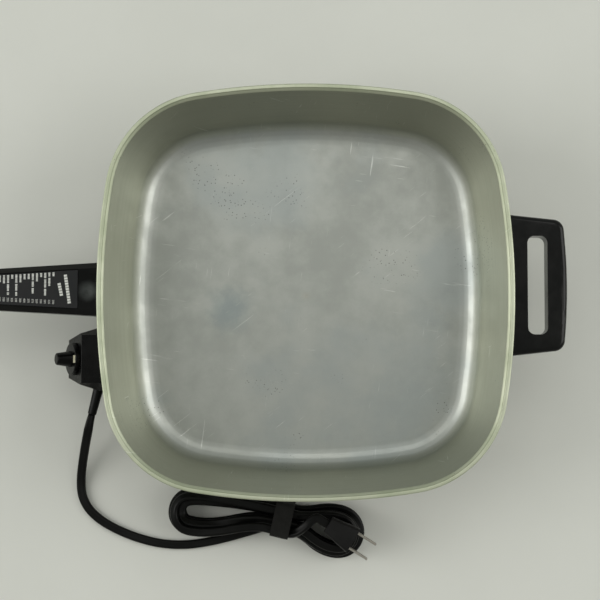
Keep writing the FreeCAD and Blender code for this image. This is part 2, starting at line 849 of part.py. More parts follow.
def make_handle():
    root = handle_section(
        "HandleRoot", "-handle_root", "handle_root_width", "handle_root_depth", "handle_top", "handle_bevel"
    )
    tip = handle_section(
        "HandleTip",
        "-handle_reach",
        "handle_tip_width",
        "handle_tip_depth",
        "(handle_top - handle_drop)",
        "handle_bevel",
    )
    form = lofted("HandleForm", root, tip)
    doc.recompute()
    far = number(PAN_X) - number("handle_reach")
    form = rounded(
        "HandleRound",
        form,
        "handle_tip_radius",
        lambda e: along(e, Vector(0, 0, 1)) and abs(e.BoundBox.XMin - far) < 0.01,
    )
    # hollow underside, open below, that stops short of both ends
    share = "(handle_end_wall / (handle_reach - handle_root))"
    tip_share = "(1 - (hang_hole_inset * 2 - 2) / (handle_reach - handle_root))"
    hollow = []
    for name, part in (("HollowRoot", share), ("HollowTip", tip_share)):
        width = f"(handle_root_width + (handle_tip_width - handle_root_width) * {part} - 2 * handle_wall)"
        top = f"(handle_top - handle_drop * {part} - plate_recess - handle_wall)"
        at = f"(-handle_root - (handle_reach - handle_root) * {part})"
        corners = [
            (f"handle_y - {width} / 2", "handle_top - handle_root_depth - handle_drop - 1"),
            (f"handle_y + {width} / 2", "handle_top - handle_root_depth - handle_drop - 1"),
            (f"handle_y + {width} / 2", top),
            (f"handle_y - {width} / 2", top),
        ]
        hollow.append(outline(name, "YZ", corners, offset=at))
    hollow = lofted("HandleHollow", *hollow)
    slope = "(handle_drop / (handle_reach - handle_root))"

    def plate(name, margin, sink, thickness):
        """A tapered plate that lies along the sloping top of the handle."""
        start, end = f"(plate_start - ({margin}))", f"(plate_start + plate_length + ({margin}))"
        wide, slim = f"(plate_root_width / 2 + ({margin}))", f"(plate_tip_width / 2 + ({margin}))"
        sections = []
        for k, (at, half) in enumerate(((start, wide), (end, slim))):
            top = f"handle_top - {slope} * ({at} - handle_root) - ({sink})"
            corners = [
                (f"handle_y - {half}", f"{top} - ({thickness})"),
                (f"handle_y + {half}", f"{top} - ({thickness})"),
                (f"handle_y + {half}", top),
                (f"handle_y - {half}", top),
            ]
            sections.append(outline(f"{name}Section{k}", "YZ", corners, offset=f"-{at}"))
        return lofted(name, *sections)

    recess = plate("HandleRecess", "0.5", "-3", "plate_recess + 3")
    screw_hole = cylinder(
        "HandleScrewHole",
        "screw_radius + fit_clearance",
        "handle_end_wall + 4",
        "-handle_root - handle_end_wall - 2",
        "handle_y",
        HANDLE_SCREW_Z,
        "+X",
    )
    hang = cylinder(
        "HandleHangHole",
        "hang_hole_radius",
        "handle_root_depth + handle_drop + 4",
        "-handle_reach + hang_hole_inset",
        "handle_y",
        "handle_top - handle_root_depth - handle_drop",
    )
    void = joined("HandleVoid", hollow, recess, screw_hole, hang)
    node("main_handle", cut("MainHandle", form, void))
    node(
        "handle_label_plate",
        plate("HandleLabelPlate", "0", "plate_recess - plate_thickness", "plate_thickness"),
    )
    shield = box(
        "ShieldPlate",
        (
            "-handle_root",
            "handle_y - lug_half_width - shield_margin",
            "handle_top - handle_bevel - lug_height - shield_margin",
        ),
        (
            "-handle_root + shield_thickness",
            "handle_y + lug_half_width + shield_margin",
            "handle_top - handle_bevel + shield_margin",
        ),
    )
    shield_hole = cylinder(
        "ShieldHole",
        "screw_radius + fit_clearance",
        "shield_thickness + 2",
        "-handle_root - 1",
        "handle_y",
        HANDLE_SCREW_Z,
        "+X",
    )
    node("handle_heat_shield", cut("HandleHeatShield", shield, shield_hole))
    bolt = screw(
        "HandleScrew",
        "screw_radius",
        "screw_head_radius",
        "screw_head_height",
        "handle_end_wall + shield_thickness + 9",
        "-handle_root - handle_end_wall - screw_head_height",
        "handle_y",
        HANDLE_SCREW_Z,
        "+X",
    )
    node("handle_screw", bolt)


# Helper handle
def make_helper():
    corners = [
        ("helper_inner", "helper_y - helper_half_length"),
        ("helper_reach - 2.5", "helper_y - helper_outer_half"),
        ("helper_reach - 2.5", "helper_y + helper_outer_half"),
        ("helper_inner", "helper_y + helper_half_length"),
    ]
    bar = extruded(
        "HelperBar", outline("HelperOutline", "XY", corners, {1: "helper_bow_radius"}), "helper_depth"
    )
    place(bar.Base, z="helper_top - helper_depth")
    doc.recompute()
    far = number(PAN_X) + number("helper_inner") + 10
    bar = rounded(
        "HelperCorners", bar, "helper_corner", lambda e: along(e, Vector(0, 0, 1)) and e.BoundBox.XMin > far
    )
    doc.recompute()
    top = number("helper_top")
    bar = rounded(
        "HelperEdges",
        bar,
        "helper_edge_round",
        lambda e: abs(e.BoundBox.ZMin - top) < 0.01 and e.BoundBox.XMax > far - 9.9,
    )
    slot_corners = [
        ("slot_inner", "helper_y - slot_half_length"),
        ("slot_inner + slot_width", "helper_y - slot_half_length"),
        ("slot_inner + slot_width", "helper_y + slot_half_length"),
        ("slot_inner", "helper_y + slot_half_length"),
    ]
    slot_sketch = outline("SlotOutline", "XY", slot_corners, offset="helper_top - helper_depth - 1")
    slot = extruded("HelperSlot", slot_sketch, "helper_depth + 2")
    slot = rounded("SlotCorners", slot, "slot_corner", lambda e: along(e, Vector(0, 0, 1)))
    holes = [
        cylinder(
            f"HelperHole{k}",
            "screw_radius + fit_clearance",
            "helper_depth - 4",
            HELPER_SCREW_X,
            f"helper_y + {side} * helper_screw_half_pitch",
            "helper_top - helper_depth - 1",
        )
        for k, side in enumerate((-1, 1))
    ]
    node("helper_handle", cut("HelperHandle", bar, joined("HelperVoid", slot, *holes)))
    screws = [
        screw(
            f"HelperScrew{k}",
            "screw_radius",
            "screw_head_radius",
            "screw_head_height",
            "helper_lug_depth + helper_depth - 6",
            HELPER_SCREW_X,
            f"helper_y + {side} * helper_screw_half_pitch",
            "helper_top - helper_depth - helper_lug_depth - screw_head_height",
            "+Z",
        )
        for k, side in enumerate((-1, 1))
    ]
    node("helper_handle_screws", group("HelperScrews", *screws))


# Heat control housing
def control_form(name, inset):
    """The control's outer form, or its inside when inset by the wall."""
    slant = f"({inset}) / cos(dial_tilt)"
    front = f"(-control_top_front + {slant} - ({inset}) * tan(dial_tilt))"
    side = [
        (f"-control_back - ({inset})", f"control_bottom + ({inset})"),
        (f"-control_back - ({inset})", f"control_top - ({inset})"),
        (front, f"control_top - ({inset})"),
        (f"-control_nose + {slant}", "control_top - (control_nose - control_top_front) / tan(dial_tilt)"),
        (f"-control_nose + {slant} + 3", f"control_bottom + ({inset})"),
    ]
    half, nose = f"(control_half_width - ({inset}))", f"(control_nose_half - ({inset}))"
    plan = [
        ("-control_back + 1", f"terminal_y - {half}"),
        ("-control_back + 1", f"terminal_y + {half}"),
        ("-control_shoulder", f"terminal_y + {half}"),
        ("-control_nose", f"terminal_y + {nose}"),
        ("-control_nose", f"terminal_y - {nose}"),
        ("-control_shoulder", f"terminal_y - {half}"),
    ]
    rise = "control_bevel_height"
    section = [
        (f"terminal_y - {half}", "control_bottom - 1"),
        (f"terminal_y + {half}", "control_bottom - 1"),
        (f"terminal_y + {half}", f"control_top - {rise}"),
        (f"terminal_y + {half} - control_bevel", "control_top"),
        (f"terminal_y - {half} + control_bevel", "control_top"),
        (f"terminal_y - {half}", f"control_top - {rise}"),
    ]
    side_bar = extruded(
        name + "Side", outline(name + "SideOutline", "XZ", side, offset="terminal_y"), half, half
    )
    plan_bar = extruded(name + "Plan", outline(name + "PlanOutline", "XY", plan), "control_top + 1")
    length = "control_nose - control_back + 2"
    across = outline(name + "Across", "YZ", section, offset="-control_nose - 1")
    return common(name, common(name + "Taper", side_bar, plan_bar), extruded(name + "Bar", across, length))


def from_dial(distance, rise="0", aside="0"):
    """A point from the middle of the sloping front: out along the dial's axis, up the slope and aside."""
    return (
        f"{DIAL_X} - cos(dial_tilt) * ({distance}) + sin(dial_tilt) * ({rise})",
        f"terminal_y + ({aside})",
        f"{DIAL_Z} + sin(dial_tilt) * ({distance}) + cos(dial_tilt) * ({rise})",
    )


def from_relief(distance):
    """A point on the strain relief's axis, from the housing's side outwards."""
    return (
        f"-relief_x - sin(relief_lean) * ({distance})",
        f"{RELIEF_Y} - cos(relief_lean) * ({distance})",
        "relief_z",
    )


def control_halves():
    outer = control_form("ControlForm", "0")
    inner = control_form("ControlInside", "control_wall")
    guard_half = "boss_half_width + guard_wall + body_clearance"
    mouth = box(
        "ControlMouth",
        (
            "-control_back - 4",
            f"terminal_y - ({guard_half})",
            "terminal_height - boss_half_height - guard_wall - 0.4",
        ),
        ("-control_back + 1", f"terminal_y + {guard_half}", "terminal_height + boss_half_height + 0.4"),
    )
    shaft_hole = cylinder(
        "ControlShaftHole", "dial_shaft_radius + fit_clearance", "control_wall * 4", *from_dial("-control_wall * 2"), "dial"
    )
    relief_hole = cylinder(
        "ControlReliefHole", "relief_radius + fit_clearance", "control_wall * 4", *from_relief("-control_wall * 2"), "relief"
    )
    hollow = joined("ControlVoid", inner, mouth, shaft_hole, relief_hole)
    shell = cut("ControlShell", outer, hollow)
    posts, bores = [], []
    for k, side in enumerate((-1, 1)):
        y = f"terminal_y + {side} * control_screw_half_pitch"
        posts.append(
            cylinder(
                f"Post{k}",
                "post_radius",
                "control_top - control_bottom - 5",
                "-control_screw_x",
                y,
                "control_bottom + 0.5",
            ),
        )
        bores.append(
            cylinder(
                f"PostBore{k}",
                "small_screw_radius + fit_clearance",
                "control_screw_length + 4",
                "-control_screw_x",
                y,
                "control_bottom",
            ),
        )
        bores.append(
            cylinder(
                f"PostSink{k}",
                "small_head_radius + 0.2",
                "post_sink",
                "-control_screw_x",
                y,
                "control_bottom - 1",
            ),
        )
    whole = cut("ControlWhole", joined("ControlPosted", shell, *posts), joined("ControlBores", *bores))
    wide = "control_half_width + 2"
    for name, low, high in (
        ("control_lower_housing", "control_bottom - 1", "control_split"),
        ("control_upper_housing", "control_split", "control_top + 1"),
    ):
        slab = box(
            name + "_slab",
            ("-control_nose - 2", f"terminal_y - ({wide})", low),
            ("-control_back + 2", f"terminal_y + {wide}", high),
        )
        node(name, common(name + "_cut", whole, slab))
    screws = [
        screw(
            f"ControlScrew{k}",
            "small_screw_radius",
            "small_head_radius",
            "small_head_height",
            "control_screw_length",
            "-control_screw_x",
            f"terminal_y + {side} * control_screw_half_pitch",
            "control_bottom - 1 + post_sink - small_head_height",
            "+Z",
        )
        for k, side in enumerate((-1, 1))
    ]
    node("control_housing_screws", group("ControlScrews", *screws))


# Thermostat, probe and contacts inside the control
def make_thermostat():
    tube_length = "frame_face - probe_tip"
    outer = cylinder(
        "ProbeOuter", "probe_radius", tube_length, "-frame_face", "terminal_y", "terminal_height", "+X"
    )
    inner = cylinder(
        "ProbeInner",
        "probe_bore",
        f"{tube_length} - 2",
        "-frame_face - 1",
        "terminal_y",
        "terminal_height",
        "+X",
    )
    node("probe_tube", cut("ProbeTube", outer, inner))
    rod_length = f"{tube_length} - 3 + frame_thickness + 2 - body_clearance"
    rod = cylinder(
        "ProbeRod",
        "probe_rod_radius",
        rod_length,
        "-frame_face - frame_thickness - 2",
        "terminal_y",
        "terminal_height",
        "+X",
    )
    node("probe_rod", rod)
    plate = box(
        "FramePlate",
        ("-frame_face - frame_thickness", "terminal_y - frame_half_width", "control_bottom + control_wall"),
        ("-frame_face", "terminal_y + frame_half_width", "frame_top"),
    )
    hole = cylinder(
        "FrameHole",
        "probe_rod_radius + 0.3",
        "frame_thickness + 2",
        "-frame_face - frame_thickness - 1",
        "terminal_y",
        "terminal_height",
        "+X",
    )
    node("thermostat_frame", cut("ThermostatFrame", plate, hole))
    sockets = []
    for k, side in enumerate((-1, 1)):
        y = f"terminal_y + {side} * terminal_half_pitch"
        sleeve = cylinder(
            f"Sleeve{k}",
            "pin_radius + body_clearance + socket_wall",
            "socket_length",
            "-frame_face",
            y,
            "terminal_height",
            "+X",
        )
        bore = cylinder(
            f"SleeveBore{k}",
            "pin_radius + body_clearance",
            "socket_length + 1",
            "-frame_face + 1",
            y,
            "terminal_height",
            "+X",
        )
        sockets.append(cut(f"Socket{k}", sleeve, bore))
    node("female_terminals", group("FemaleTerminals", *sockets))
    start, end = "-frame_face - frame_thickness - blade_length", "-frame_face - frame_thickness"
    blades, points = [], []
    for k, z in enumerate(("blade_height", "blade_height + blade_thickness + 2 * contact_height")):
        blades.append(
            box(
                f"Blade{k}",
                (start, "terminal_y - blade_width / 2", z),
                (end, "terminal_y + blade_width / 2", f"{z} + blade_thickness"),
            ),
        )
        lift = f"blade_height + blade_thickness + {k} * contact_height"
        points.append(
            cylinder(f"Contact{k}", "contact_radius", "contact_height", f"{start} + 2.5", "terminal_y", lift)
        )
    node("contact_blades", group("ContactBlades", *blades))
    node("contact_points", group("ContactPoints", *points))


def make_dial():
    """The knob is a flat disc with a tapered grip, on a shaft held by a clip inside the wall."""
    disc = cylinder("DialDisc", "dial_radius", "dial_thickness", *from_dial("dial_gap"), "dial")
    nub = cone(
        "DialNub",
        "nub_base_radius",
        "nub_tip_radius",
        "nub_length",
        *from_dial("dial_gap + dial_thickness"),
        "dial",
    )
    knob = joined("DialForm", disc, nub)
    doc.recompute()
    tip = Vector(number(PAN_X) + number(from_dial("0")[0]), number("terminal_y"), number(DIAL_Z))
    axis = Vector(
        -math.cos(math.radians(number("dial_tilt"))), 0, math.sin(math.radians(number("dial_tilt")))
    )
    far = number("dial_gap + dial_thickness + nub_length")
    disc_top = number("dial_gap + dial_thickness")

    def at_height(edge, height):
        return all(abs((point - tip).dot(axis) - height) < 0.01 for point in edge.discretize(5))

    knob = rounded("DialTipRound", knob, "nub_round", lambda e: at_height(e, far))
    knob = rounded(
        "DialRimRound",
        knob,
        "dial_edge",
        lambda e: at_height(e, disc_top) and e.Curve.Radius > number("nub_base_radius + 1"),
    )

    def inlay(name, margin):
        item = doc.addObject("Part::Box", name)
        bind(
            item,
            Length=f"pointer_length + 2 * ({margin})",
            Width=f"pointer_width + 2 * ({margin})",
            Height=f"pointer_thickness + ({margin})",
        )
        start = from_dial(
            "dial_gap + dial_thickness - pointer_thickness + 0.1",
            f"pointer_start - ({margin})",
            f"-pointer_width / 2 - ({margin})",
        )
        return place(turn(item, "dial"), *start)

    node("dial_knob", cut("DialKnob", knob, inlay("PointerRecess", "0.05")))
    node("dial_pointer", inlay("PointerPlate", "0"))
    shaft = cylinder(
        "DialShaft",
        "dial_shaft_radius",
        "dial_shaft_depth + dial_gap",
        *from_dial("-dial_shaft_depth"),
        "dial",
    )
    node("dial_shaft", shaft)
    start = from_dial("-control_wall - body_clearance - clip_thickness")
    ring = cylinder("ClipDisc", "clip_radius", "clip_thickness", *start, "dial")
    hole = cylinder(
        "ClipHole",
        "dial_shaft_radius",
        "clip_thickness + 2",
        *from_dial("-control_wall - body_clearance - clip_thickness - 1"),
        "dial",
    )
    node("dial_clip", cut("DialClip", ring, hole))


# Supply cord: strain relief, leads, the free stretch, the tied hank and the plug
def make_relief():
    body = cone(
        "ReliefCone", "relief_radius", "relief_tip_radius", "relief_length", *from_relief("0"), "relief"
    )
    inside = "(control_wall + 1.5)"
    neck = cylinder("ReliefNeck", "relief_radius", inside, *from_relief(f"-{inside}"), "relief")
    node("cord_strain_relief", joined("StrainRelief", body, neck))
    x, y, z = (number(text) for text in from_relief(f"-{inside}"))
    back, half = -number("frame_face + frame_thickness"), number("frame_half_width")
    gap = number("wire_radius") + 0.15
    routes = []
    for side, drop in ((1, 4.0), (-1, -3.5)):
        lead = (x + 0.1, y + 0.6, z + side * gap)
        bend = (x - 0.4, y + 4.0, z + side * 2)
        routes.append(
            [
                lead,
                bend,
                (back - 3.2, y + 7.0, z + drop),
                (back - 2.6, number("terminal_y") - 7 * side, z + drop),
            ],
        )
    wires = [tube(route_wire([at_pan(*p) for p in route])[0], number("wire_radius")) for route in routes]
    node("lead_wires", part_shape("LeadWires", Part.makeCompound(wires)))


# The free stretch, from the middle of the pan: the first points move with the heat control's
# shoulder and the others with the hank, from where these two are in the list's numbers.
ROUTE_SHOULDER, ROUTE_HANK_Y, ROUTE_BESIDE = 153.5, -167.4, 4
CORD_ROUTE = (
    (-165.9, -104.0, 24.3),
    (-168.6, -113.0, 18.0),
    (-172.0, -126.0, 9.6),
    (-174.3, -140.0, 4.2),
    (-173.6, -152.0, 3.0),
    (-168.6, -162.0, 3.0),
    (-159.5, -170.4, 3.0),
    (-147.0, -177.6, 3.0),
    (-131.5, -183.9, 3.0),
    (-113.0, -188.7, 3.0),
    (-93.0, -189.7, 3.0),
    (-74.5, -186.9, 3.0),
)


def straight_edge(start, end):
    return Part.LineSegment(start, end).toShape()


def biarc(start, heading, end, final):
    """Two tangent arcs of equal reach between two headings; also gives their smaller radius."""
    span = end - start
    square, across = 2 * (1 - heading.dot(final)), 2 * span.dot(heading + final)
    if abs(square) < 1e-9:
        reach = span.dot(span) / across
    else:
        reach = (-across + math.sqrt(across**2 + 4 * square * span.dot(span))) / (2 * square)
    first, second = start + heading * reach, end - final * reach
    joint = (first + second) / 2
    edges, radius = [], 1e9
    for a, corner, b in ((start, first, joint), (joint, second, end)):
        half = (b - a).Length / 2
        lean = math.acos(min(1, half / reach))
        if lean < 1e-4:
            edges.append(straight_edge(a, b))
            continue
        middle = (a + b) / 2
        rise = (corner - middle).normalize() * (half * math.tan(lean / 2))
        edges.append(Part.Arc(a, middle + rise, b).toShape())
        radius = min(radius, half / math.sin(lean))
    return edges, radius


def heading(angle, climb=0):
    """A direction in the plan, turned up by a climb."""
    flat, rise = math.radians(angle), math.radians(climb)
    return Vector(math.cos(flat) * math.cos(rise), math.sin(flat) * math.cos(rise), math.sin(rise))


# Each stretch of the wound hank: turns taken, inward share at its start and end, layer at its start and end
HANK_STRETCHES = (
    (0.875, 0, 1, 0, 0),
    (0.5, 1, 1, 0, 1),
    (0.875, 1, 0, 1, 1),
    (0.5, 0, 0, 1, 2),
    (0.875, 0, 1, 2, 2),
    (0.5, 1, 1, 2, 3),
    (0.875, 1, 0, 3, 3),
)
HANK_TURNS = 5
LEFT_HEADING, WAIST_HEADING, RIGHT_HEADING = -4.0, -13.0, -15.0
HANK_LOOP = (
    (0.0, "lower waist"),
    (0.14, "right lower"),
    (0.25, "right end"),
    (0.36, "right upper"),
    (0.5, "upper waist"),
    (0.64, "left upper"),
    (0.75, "left end"),
    (0.86, "left lower"),
)
HANK_ENTRY = (-32.0, -13.2)
ENTRY_HEADING = 16.0
TAIL_CLIMB = 5.6
TAIL_OVER = (14.0, -5.0, WAIST_HEADING, 36.0, 29.8, 15.0)
PLUG_HEADING = -32.0


def hank_place(turns):
    """How far in, as a share of a step, and how many layers up the cord is after some turns."""
    start = 0
    for length, inner, inner_end, layer, layer_end in HANK_STRETCHES:
        if turns <= start + length:
            share = (turns - start) / length
            return inner + (inner_end - inner) * share, layer + (layer_end - layer) * share
        start += length
    return inner_end, layer_end


def plug_points():
    """The middle of the plug's rear and of its face."""
    top = number("cord_lift + 3 * hank_layer + cord_diameter / 2 + body_clearance + plug_depth / 2")
    face = at_pan(number("hank_x + plug_face_x"), number("hank_y + plug_face_y"), top)
    return face - heading(PLUG_HEADING) * number("plug_length"), face


def hank_entry():
    return at_pan(number("hank_x") + HANK_ENTRY[0], number("hank_y") + HANK_ENTRY[1], number("cord_lift"))


def hank_stations():
    """Points and headings along the hank: tied waist, right lobe, waist, left lobe, five times over."""
    step, layer, lift = number("hank_step"), number("hank_layer"), number("cord_lift")
    waist, straight = number("hank_waist_half"), number("tie_width") / 2 - 3
    left, right = number("hank_left"), number("hank_right")
    left_half, right_half = number("hank_left_half"), number("hank_right_half")
    raised = number("tie_thickness + 0.4")
    diameter = number("cord_diameter")
    stations = []

    def add(along_axis, across, turn_angle, way, height, climb=0):
        point = at_pan(number("hank_x"), number("hank_y"), height)
        point += heading(turn_angle) * along_axis + heading(turn_angle + 90) * across
        stations.append((point, heading(way, climb)))

    entry = hank_entry()
    stations.append((entry, heading(ENTRY_HEADING)))
    stations.append((entry + heading(ENTRY_HEADING) * diameter, heading(ENTRY_HEADING)))
    for turn_number in range(HANK_TURNS):
        for share, kind in HANK_LOOP:
            inner, level = hank_place(turn_number + share)
            inset, height = step * inner, lift + layer * level
            if "waist" in kind:
                inset = number("hank_waist_step") * inner
            if kind == "lower waist":
                for shift in (-straight, straight):
                    add(shift, inset - waist, WAIST_HEADING, WAIST_HEADING, height + raised)
            elif kind == "right lower":
                add(right - right_half, inset - right_half, RIGHT_HEADING, RIGHT_HEADING, height)
            elif kind == "right end":
                add(right - inset, 0, RIGHT_HEADING, RIGHT_HEADING + 90, height)
            elif kind == "right upper":
                add(right - right_half, right_half - inset, RIGHT_HEADING, RIGHT_HEADING + 180, height)
            elif kind == "upper waist":
                for shift in (straight, -straight):
                    add(shift, waist - inset, WAIST_HEADING, WAIST_HEADING + 180, height + raised)
            elif kind == "left upper":
                add(left_half - left, left_half - inset, LEFT_HEADING, LEFT_HEADING + 180, height)
            elif kind == "left end":
                add(inset - left, 0, LEFT_HEADING, LEFT_HEADING + 270, height)
            else:
                add(left_half - left, inset - left_half, LEFT_HEADING, LEFT_HEADING, height)
    for shift, level in ((-straight, 3.3), (straight, 3.55)):
        add(shift, -waist, WAIST_HEADING, WAIST_HEADING, lift + layer * level + raised, TAIL_CLIMB)
    add(*TAIL_OVER)
    rear, _ = plug_points()
    stations.append((rear - heading(PLUG_HEADING) * diameter, heading(PLUG_HEADING)))
    stations.append((rear, heading(PLUG_HEADING)))
    return stations


def least_gap(edges, diameter):
    """The least distance between the tube's own surfaces, on points along it."""
    points, along_cord, total = [], [], 0.0
    for edge in edges:
        for point in edge.discretize(Distance=2.5)[:-1]:
            if points:
                total += (point - points[-1]).Length
            points.append(point)
            along_cord.append(total)
    least = 1e9
    for k, point in enumerate(points):
        for other in range(k + 1, len(points)):
            if along_cord[other] - along_cord[k] > 3 * diameter:
                least = min(least, (points[other] - point).Length)
    return least - diameter


def make_cord():
    diameter = number("cord_diameter")
    radius = diameter / 2
    start = at_pan(*(number(text) for text in from_relief("relief_length")))
    lead = at_pan(*(number(text) for text in from_relief("relief_length + 8")))
    entry = hank_entry()
    beside = Vector(ROUTE_SHOULDER - number("control_shoulder"), 0, 0)
    below = Vector(0, number("hank_y") - ROUTE_HANK_Y, 0)
    points = [start, lead]
    points += [at_pan(*point) + (beside if k < ROUTE_BESIDE else below) for k, point in enumerate(CORD_ROUTE)]
    points += [entry - heading(ENTRY_HEADING) * 11, entry]
    wire, radii = route_wire(points)
    free = tube(wire, radius)
    print("free cord radii", [round(value) for value in radii], "length", round(wire.Length))
    print("free cord volume ratio", round(free.Volume / (wire.Length * math.pi * radius**2), 4))
    node("cord_free", part_shape("CordFree", free))
    stations = hank_stations()
    edges, smallest = [], 1e9
    for (start, way), (end, final) in zip(stations, stations[1:]):
        pieces, tight = biarc(start, way, end, final)
        edges += pieces
        smallest = min(smallest, tight)
    hank_wire = Part.Wire(edges)
    hank = tube(hank_wire, radius)
    print("hank length", round(hank_wire.Length), "tightest radius", round(smallest, 1))
    print("hank least gap to itself", round(least_gap(edges, diameter), 2))
    print("hank volume ratio", round(hank.Volume / (hank_wire.Length * math.pi * radius**2), 4))
    print("cord length", round(wire.Length + hank_wire.Length))
    node("cord_hank", part_shape("CordHank", hank))


def make_tie():
    """A band round the waist of the hank."""
    half = number("hank_waist_half + cord_diameter / 2 + body_clearance")
    wall, width = number("tie_thickness"), number("tie_width")
    low, high = 0.2, number("cord_lift + 3.75 * hank_layer + tie_thickness + cord_diameter / 2 + 1.0")
    rings = []
    for grow in (wall, 0):
        bottom = low if grow else low + wall
        block = Part.makeBox(width, 2 * (half + grow), high + grow - bottom)
        block.translate(Vector(-width / 2, -half - grow, bottom))
        rounding = [edge for edge in block.Edges if along(edge, Vector(1, 0, 0))]
        rings.append(block.makeFillet(2.0 + grow, rounding))
    band = part_shape("CordTie", rings[0].cut(rings[1]))
    turned = FreeCAD.Rotation(Vector(0, 0, 1), WAIST_HEADING)
    band.Placement = FreeCAD.Placement(at_pan(number("hank_x"), number("hank_y"), 0), turned)
    node("cord_tie", band)


def make_plug():
    rear, face = plug_points()
    turned = FreeCAD.Rotation(Vector(0, 0, 1), PLUG_HEADING)
    deep = number("plug_depth") / 2
    sections = []
    for at, half, tall in (
        (0, number("plug_rear_width") / 2, deep * 0.8),
        (number("plug_length") * 0.55, number("plug_face_width") / 2 - 1.5, deep),
        (number("plug_length"), number("plug_face_width") / 2, deep),
    ):
        corners = [Vector(at, a * half, b * tall) for a, b in ((-1, -1), (1, -1), (1, 1), (-1, 1))]
        round_off = min(half, tall) * 0.45
        sections.append(rounded_polygon(corners, {k: round_off for k in range(4)}))
    plug = part_shape("PlugBody", Part.makeLoft(sections, True, True))
    plug.Placement = FreeCAD.Placement(rear, turned)
    node("plug_body", plug)
    blades = []
    for side in (-1, 1):
        blade = Part.makeBox(number("prong_length"), number("prong_thickness"), number("prong_width"))
        across = side * number("prong_half_pitch") - number("prong_thickness") / 2
        blade.translate(Vector(number("plug_length"), across, -number("prong_width") / 2))
        blades.append(blade)
    prongs = part_shape("PlugProngs", Part.makeCompound(blades))
    prongs.Placement = FreeCAD.Placement(rear, turned)
    node("plug_prongs", prongs)


make_pan()
make_element()
make_legs()
make_handle()
make_helper()
control_halves()
make_thermostat()
make_dial()
make_relief()
make_cord()
make_tie()
make_plug()


def check_document():
    doc.recompute()
    failed = [f"{item.Name} {item.State}" for item in doc.Objects if {"Invalid", "Error"} & set(item.State)]
    if failed:
        raise RuntimeError("failed objects: " + ", ".join(failed))
    for name, item in NODES.items():
        shape = item.Shape
        if shape.isNull() or not shape.isValid() or not shape.Solids:
            raise RuntimeError(f"{name} has no valid solid")


check_document()
os.makedirs("parts", exist_ok=True)
for name, item in NODES.items():
    item.Shape.exportStep(os.path.join("parts", name + ".step"))
    print(name, len(item.Shape.Solids), round(item.Shape.Volume))
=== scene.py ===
import math

import bmesh
import bpy
import numpy as np
from mathutils import Matrix, Vector


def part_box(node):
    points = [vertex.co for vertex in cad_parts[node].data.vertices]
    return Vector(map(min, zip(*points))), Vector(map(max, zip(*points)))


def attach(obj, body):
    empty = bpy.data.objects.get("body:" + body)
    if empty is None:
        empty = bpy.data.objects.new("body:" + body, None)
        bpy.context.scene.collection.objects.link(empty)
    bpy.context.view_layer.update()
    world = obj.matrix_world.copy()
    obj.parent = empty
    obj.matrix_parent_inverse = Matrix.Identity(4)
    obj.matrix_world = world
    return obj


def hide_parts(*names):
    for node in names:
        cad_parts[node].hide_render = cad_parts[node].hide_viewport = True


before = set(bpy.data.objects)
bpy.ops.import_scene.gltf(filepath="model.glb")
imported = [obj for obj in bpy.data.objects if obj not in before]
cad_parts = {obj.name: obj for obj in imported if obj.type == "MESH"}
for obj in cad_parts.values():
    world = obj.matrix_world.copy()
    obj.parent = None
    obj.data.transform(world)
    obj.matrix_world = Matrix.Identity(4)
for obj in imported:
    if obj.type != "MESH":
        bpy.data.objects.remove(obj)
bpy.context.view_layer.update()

# Lengths below are in millimetres from the middle of the pan, as the real skillet is measured.
# at() turns them into the frame's metres.
MM = 0.001


def middle_of(node):
    low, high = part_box(node)
    return (Vector(low) + Vector(high)) / 2


PAN_X = (middle_of("leg_front_left").x + middle_of("leg_front_right").x) / 2


def at(x, y, z):
    return Vector((PAN_X + x * MM, y * MM, z * MM))


def placed(points):
    """Rows of millimetres from the pan's middle, as rows of metres in the frame."""
    out = np.array(points, float) * MM
    out[..., 0] += PAN_X
    return out


# Camera at the photograph's angle: straight down, from a little below the pan's middle
CAMERA_PLACE = (11.0, -54.0, 1006.0)
CAMERA_TARGET = (-3.6, -6.4, 106.0)
LENS, SENSOR = 77.7, 36.0


def make_camera():
    data = bpy.data.cameras.new("camera")
    data.lens, data.sensor_width = LENS, SENSOR
    camera = bpy.data.objects.new("camera", data)
    bpy.context.scene.collection.objects.link(camera)
    place, target = at(*CAMERA_PLACE), at(*CAMERA_TARGET)
    back = (place - target).normalized()
    right = Vector((0, 1, 0)).cross(back).normalized()
    up = back.cross(right)
    turn = Matrix((right, up, back)).transposed()
    camera.matrix_world = Matrix.Translation(place) @ turn.to_4x4()
    bpy.context.scene.camera = camera


make_camera()


# Meshes from arrays
def points_of(data):
    """A mesh's points as rows."""
    flat = np.empty(len(data.vertices) * 3, np.float32)
    data.vertices.foreach_get("co", flat)
    return flat.reshape(-1, 3).astype(float)


def piece_from(name, data, body, *nodes):
    """A piece that rides with a body and stands in for nodes."""
    piece = bpy.data.objects.new(name, data)
    bpy.context.scene.collection.objects.link(piece)
    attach(piece, body)
    if nodes:
        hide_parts(*nodes)
    return piece


def mesh_from(name, vertices, faces, closed=True):
    """A smooth mesh of points in metres; a closed one has its faces turned outwards."""
    data = bpy.data.meshes.new(name)
    data.from_pydata(np.asarray(vertices).tolist(), [], faces)
    if closed:
        work = bmesh.new()
        work.from_mesh(data)
        bmesh.ops.remove_doubles(work, verts=work.verts, dist=1e-7)
        bmesh.ops.recalc_face_normals(work, faces=work.faces)
        work.to_mesh(data)
        work.free()
    data.shade_smooth()
    return data


def ring_faces(rings, around):
    """Quads between closed rows of points that follow each other in one array."""
    i, j = np.arange(rings - 1)[:, None], np.arange(around)[None]
    k = (j + 1) % around
    return np.stack([i * around + j, i * around + k, (i + 1) * around + k, (i + 1) * around + j], -1)


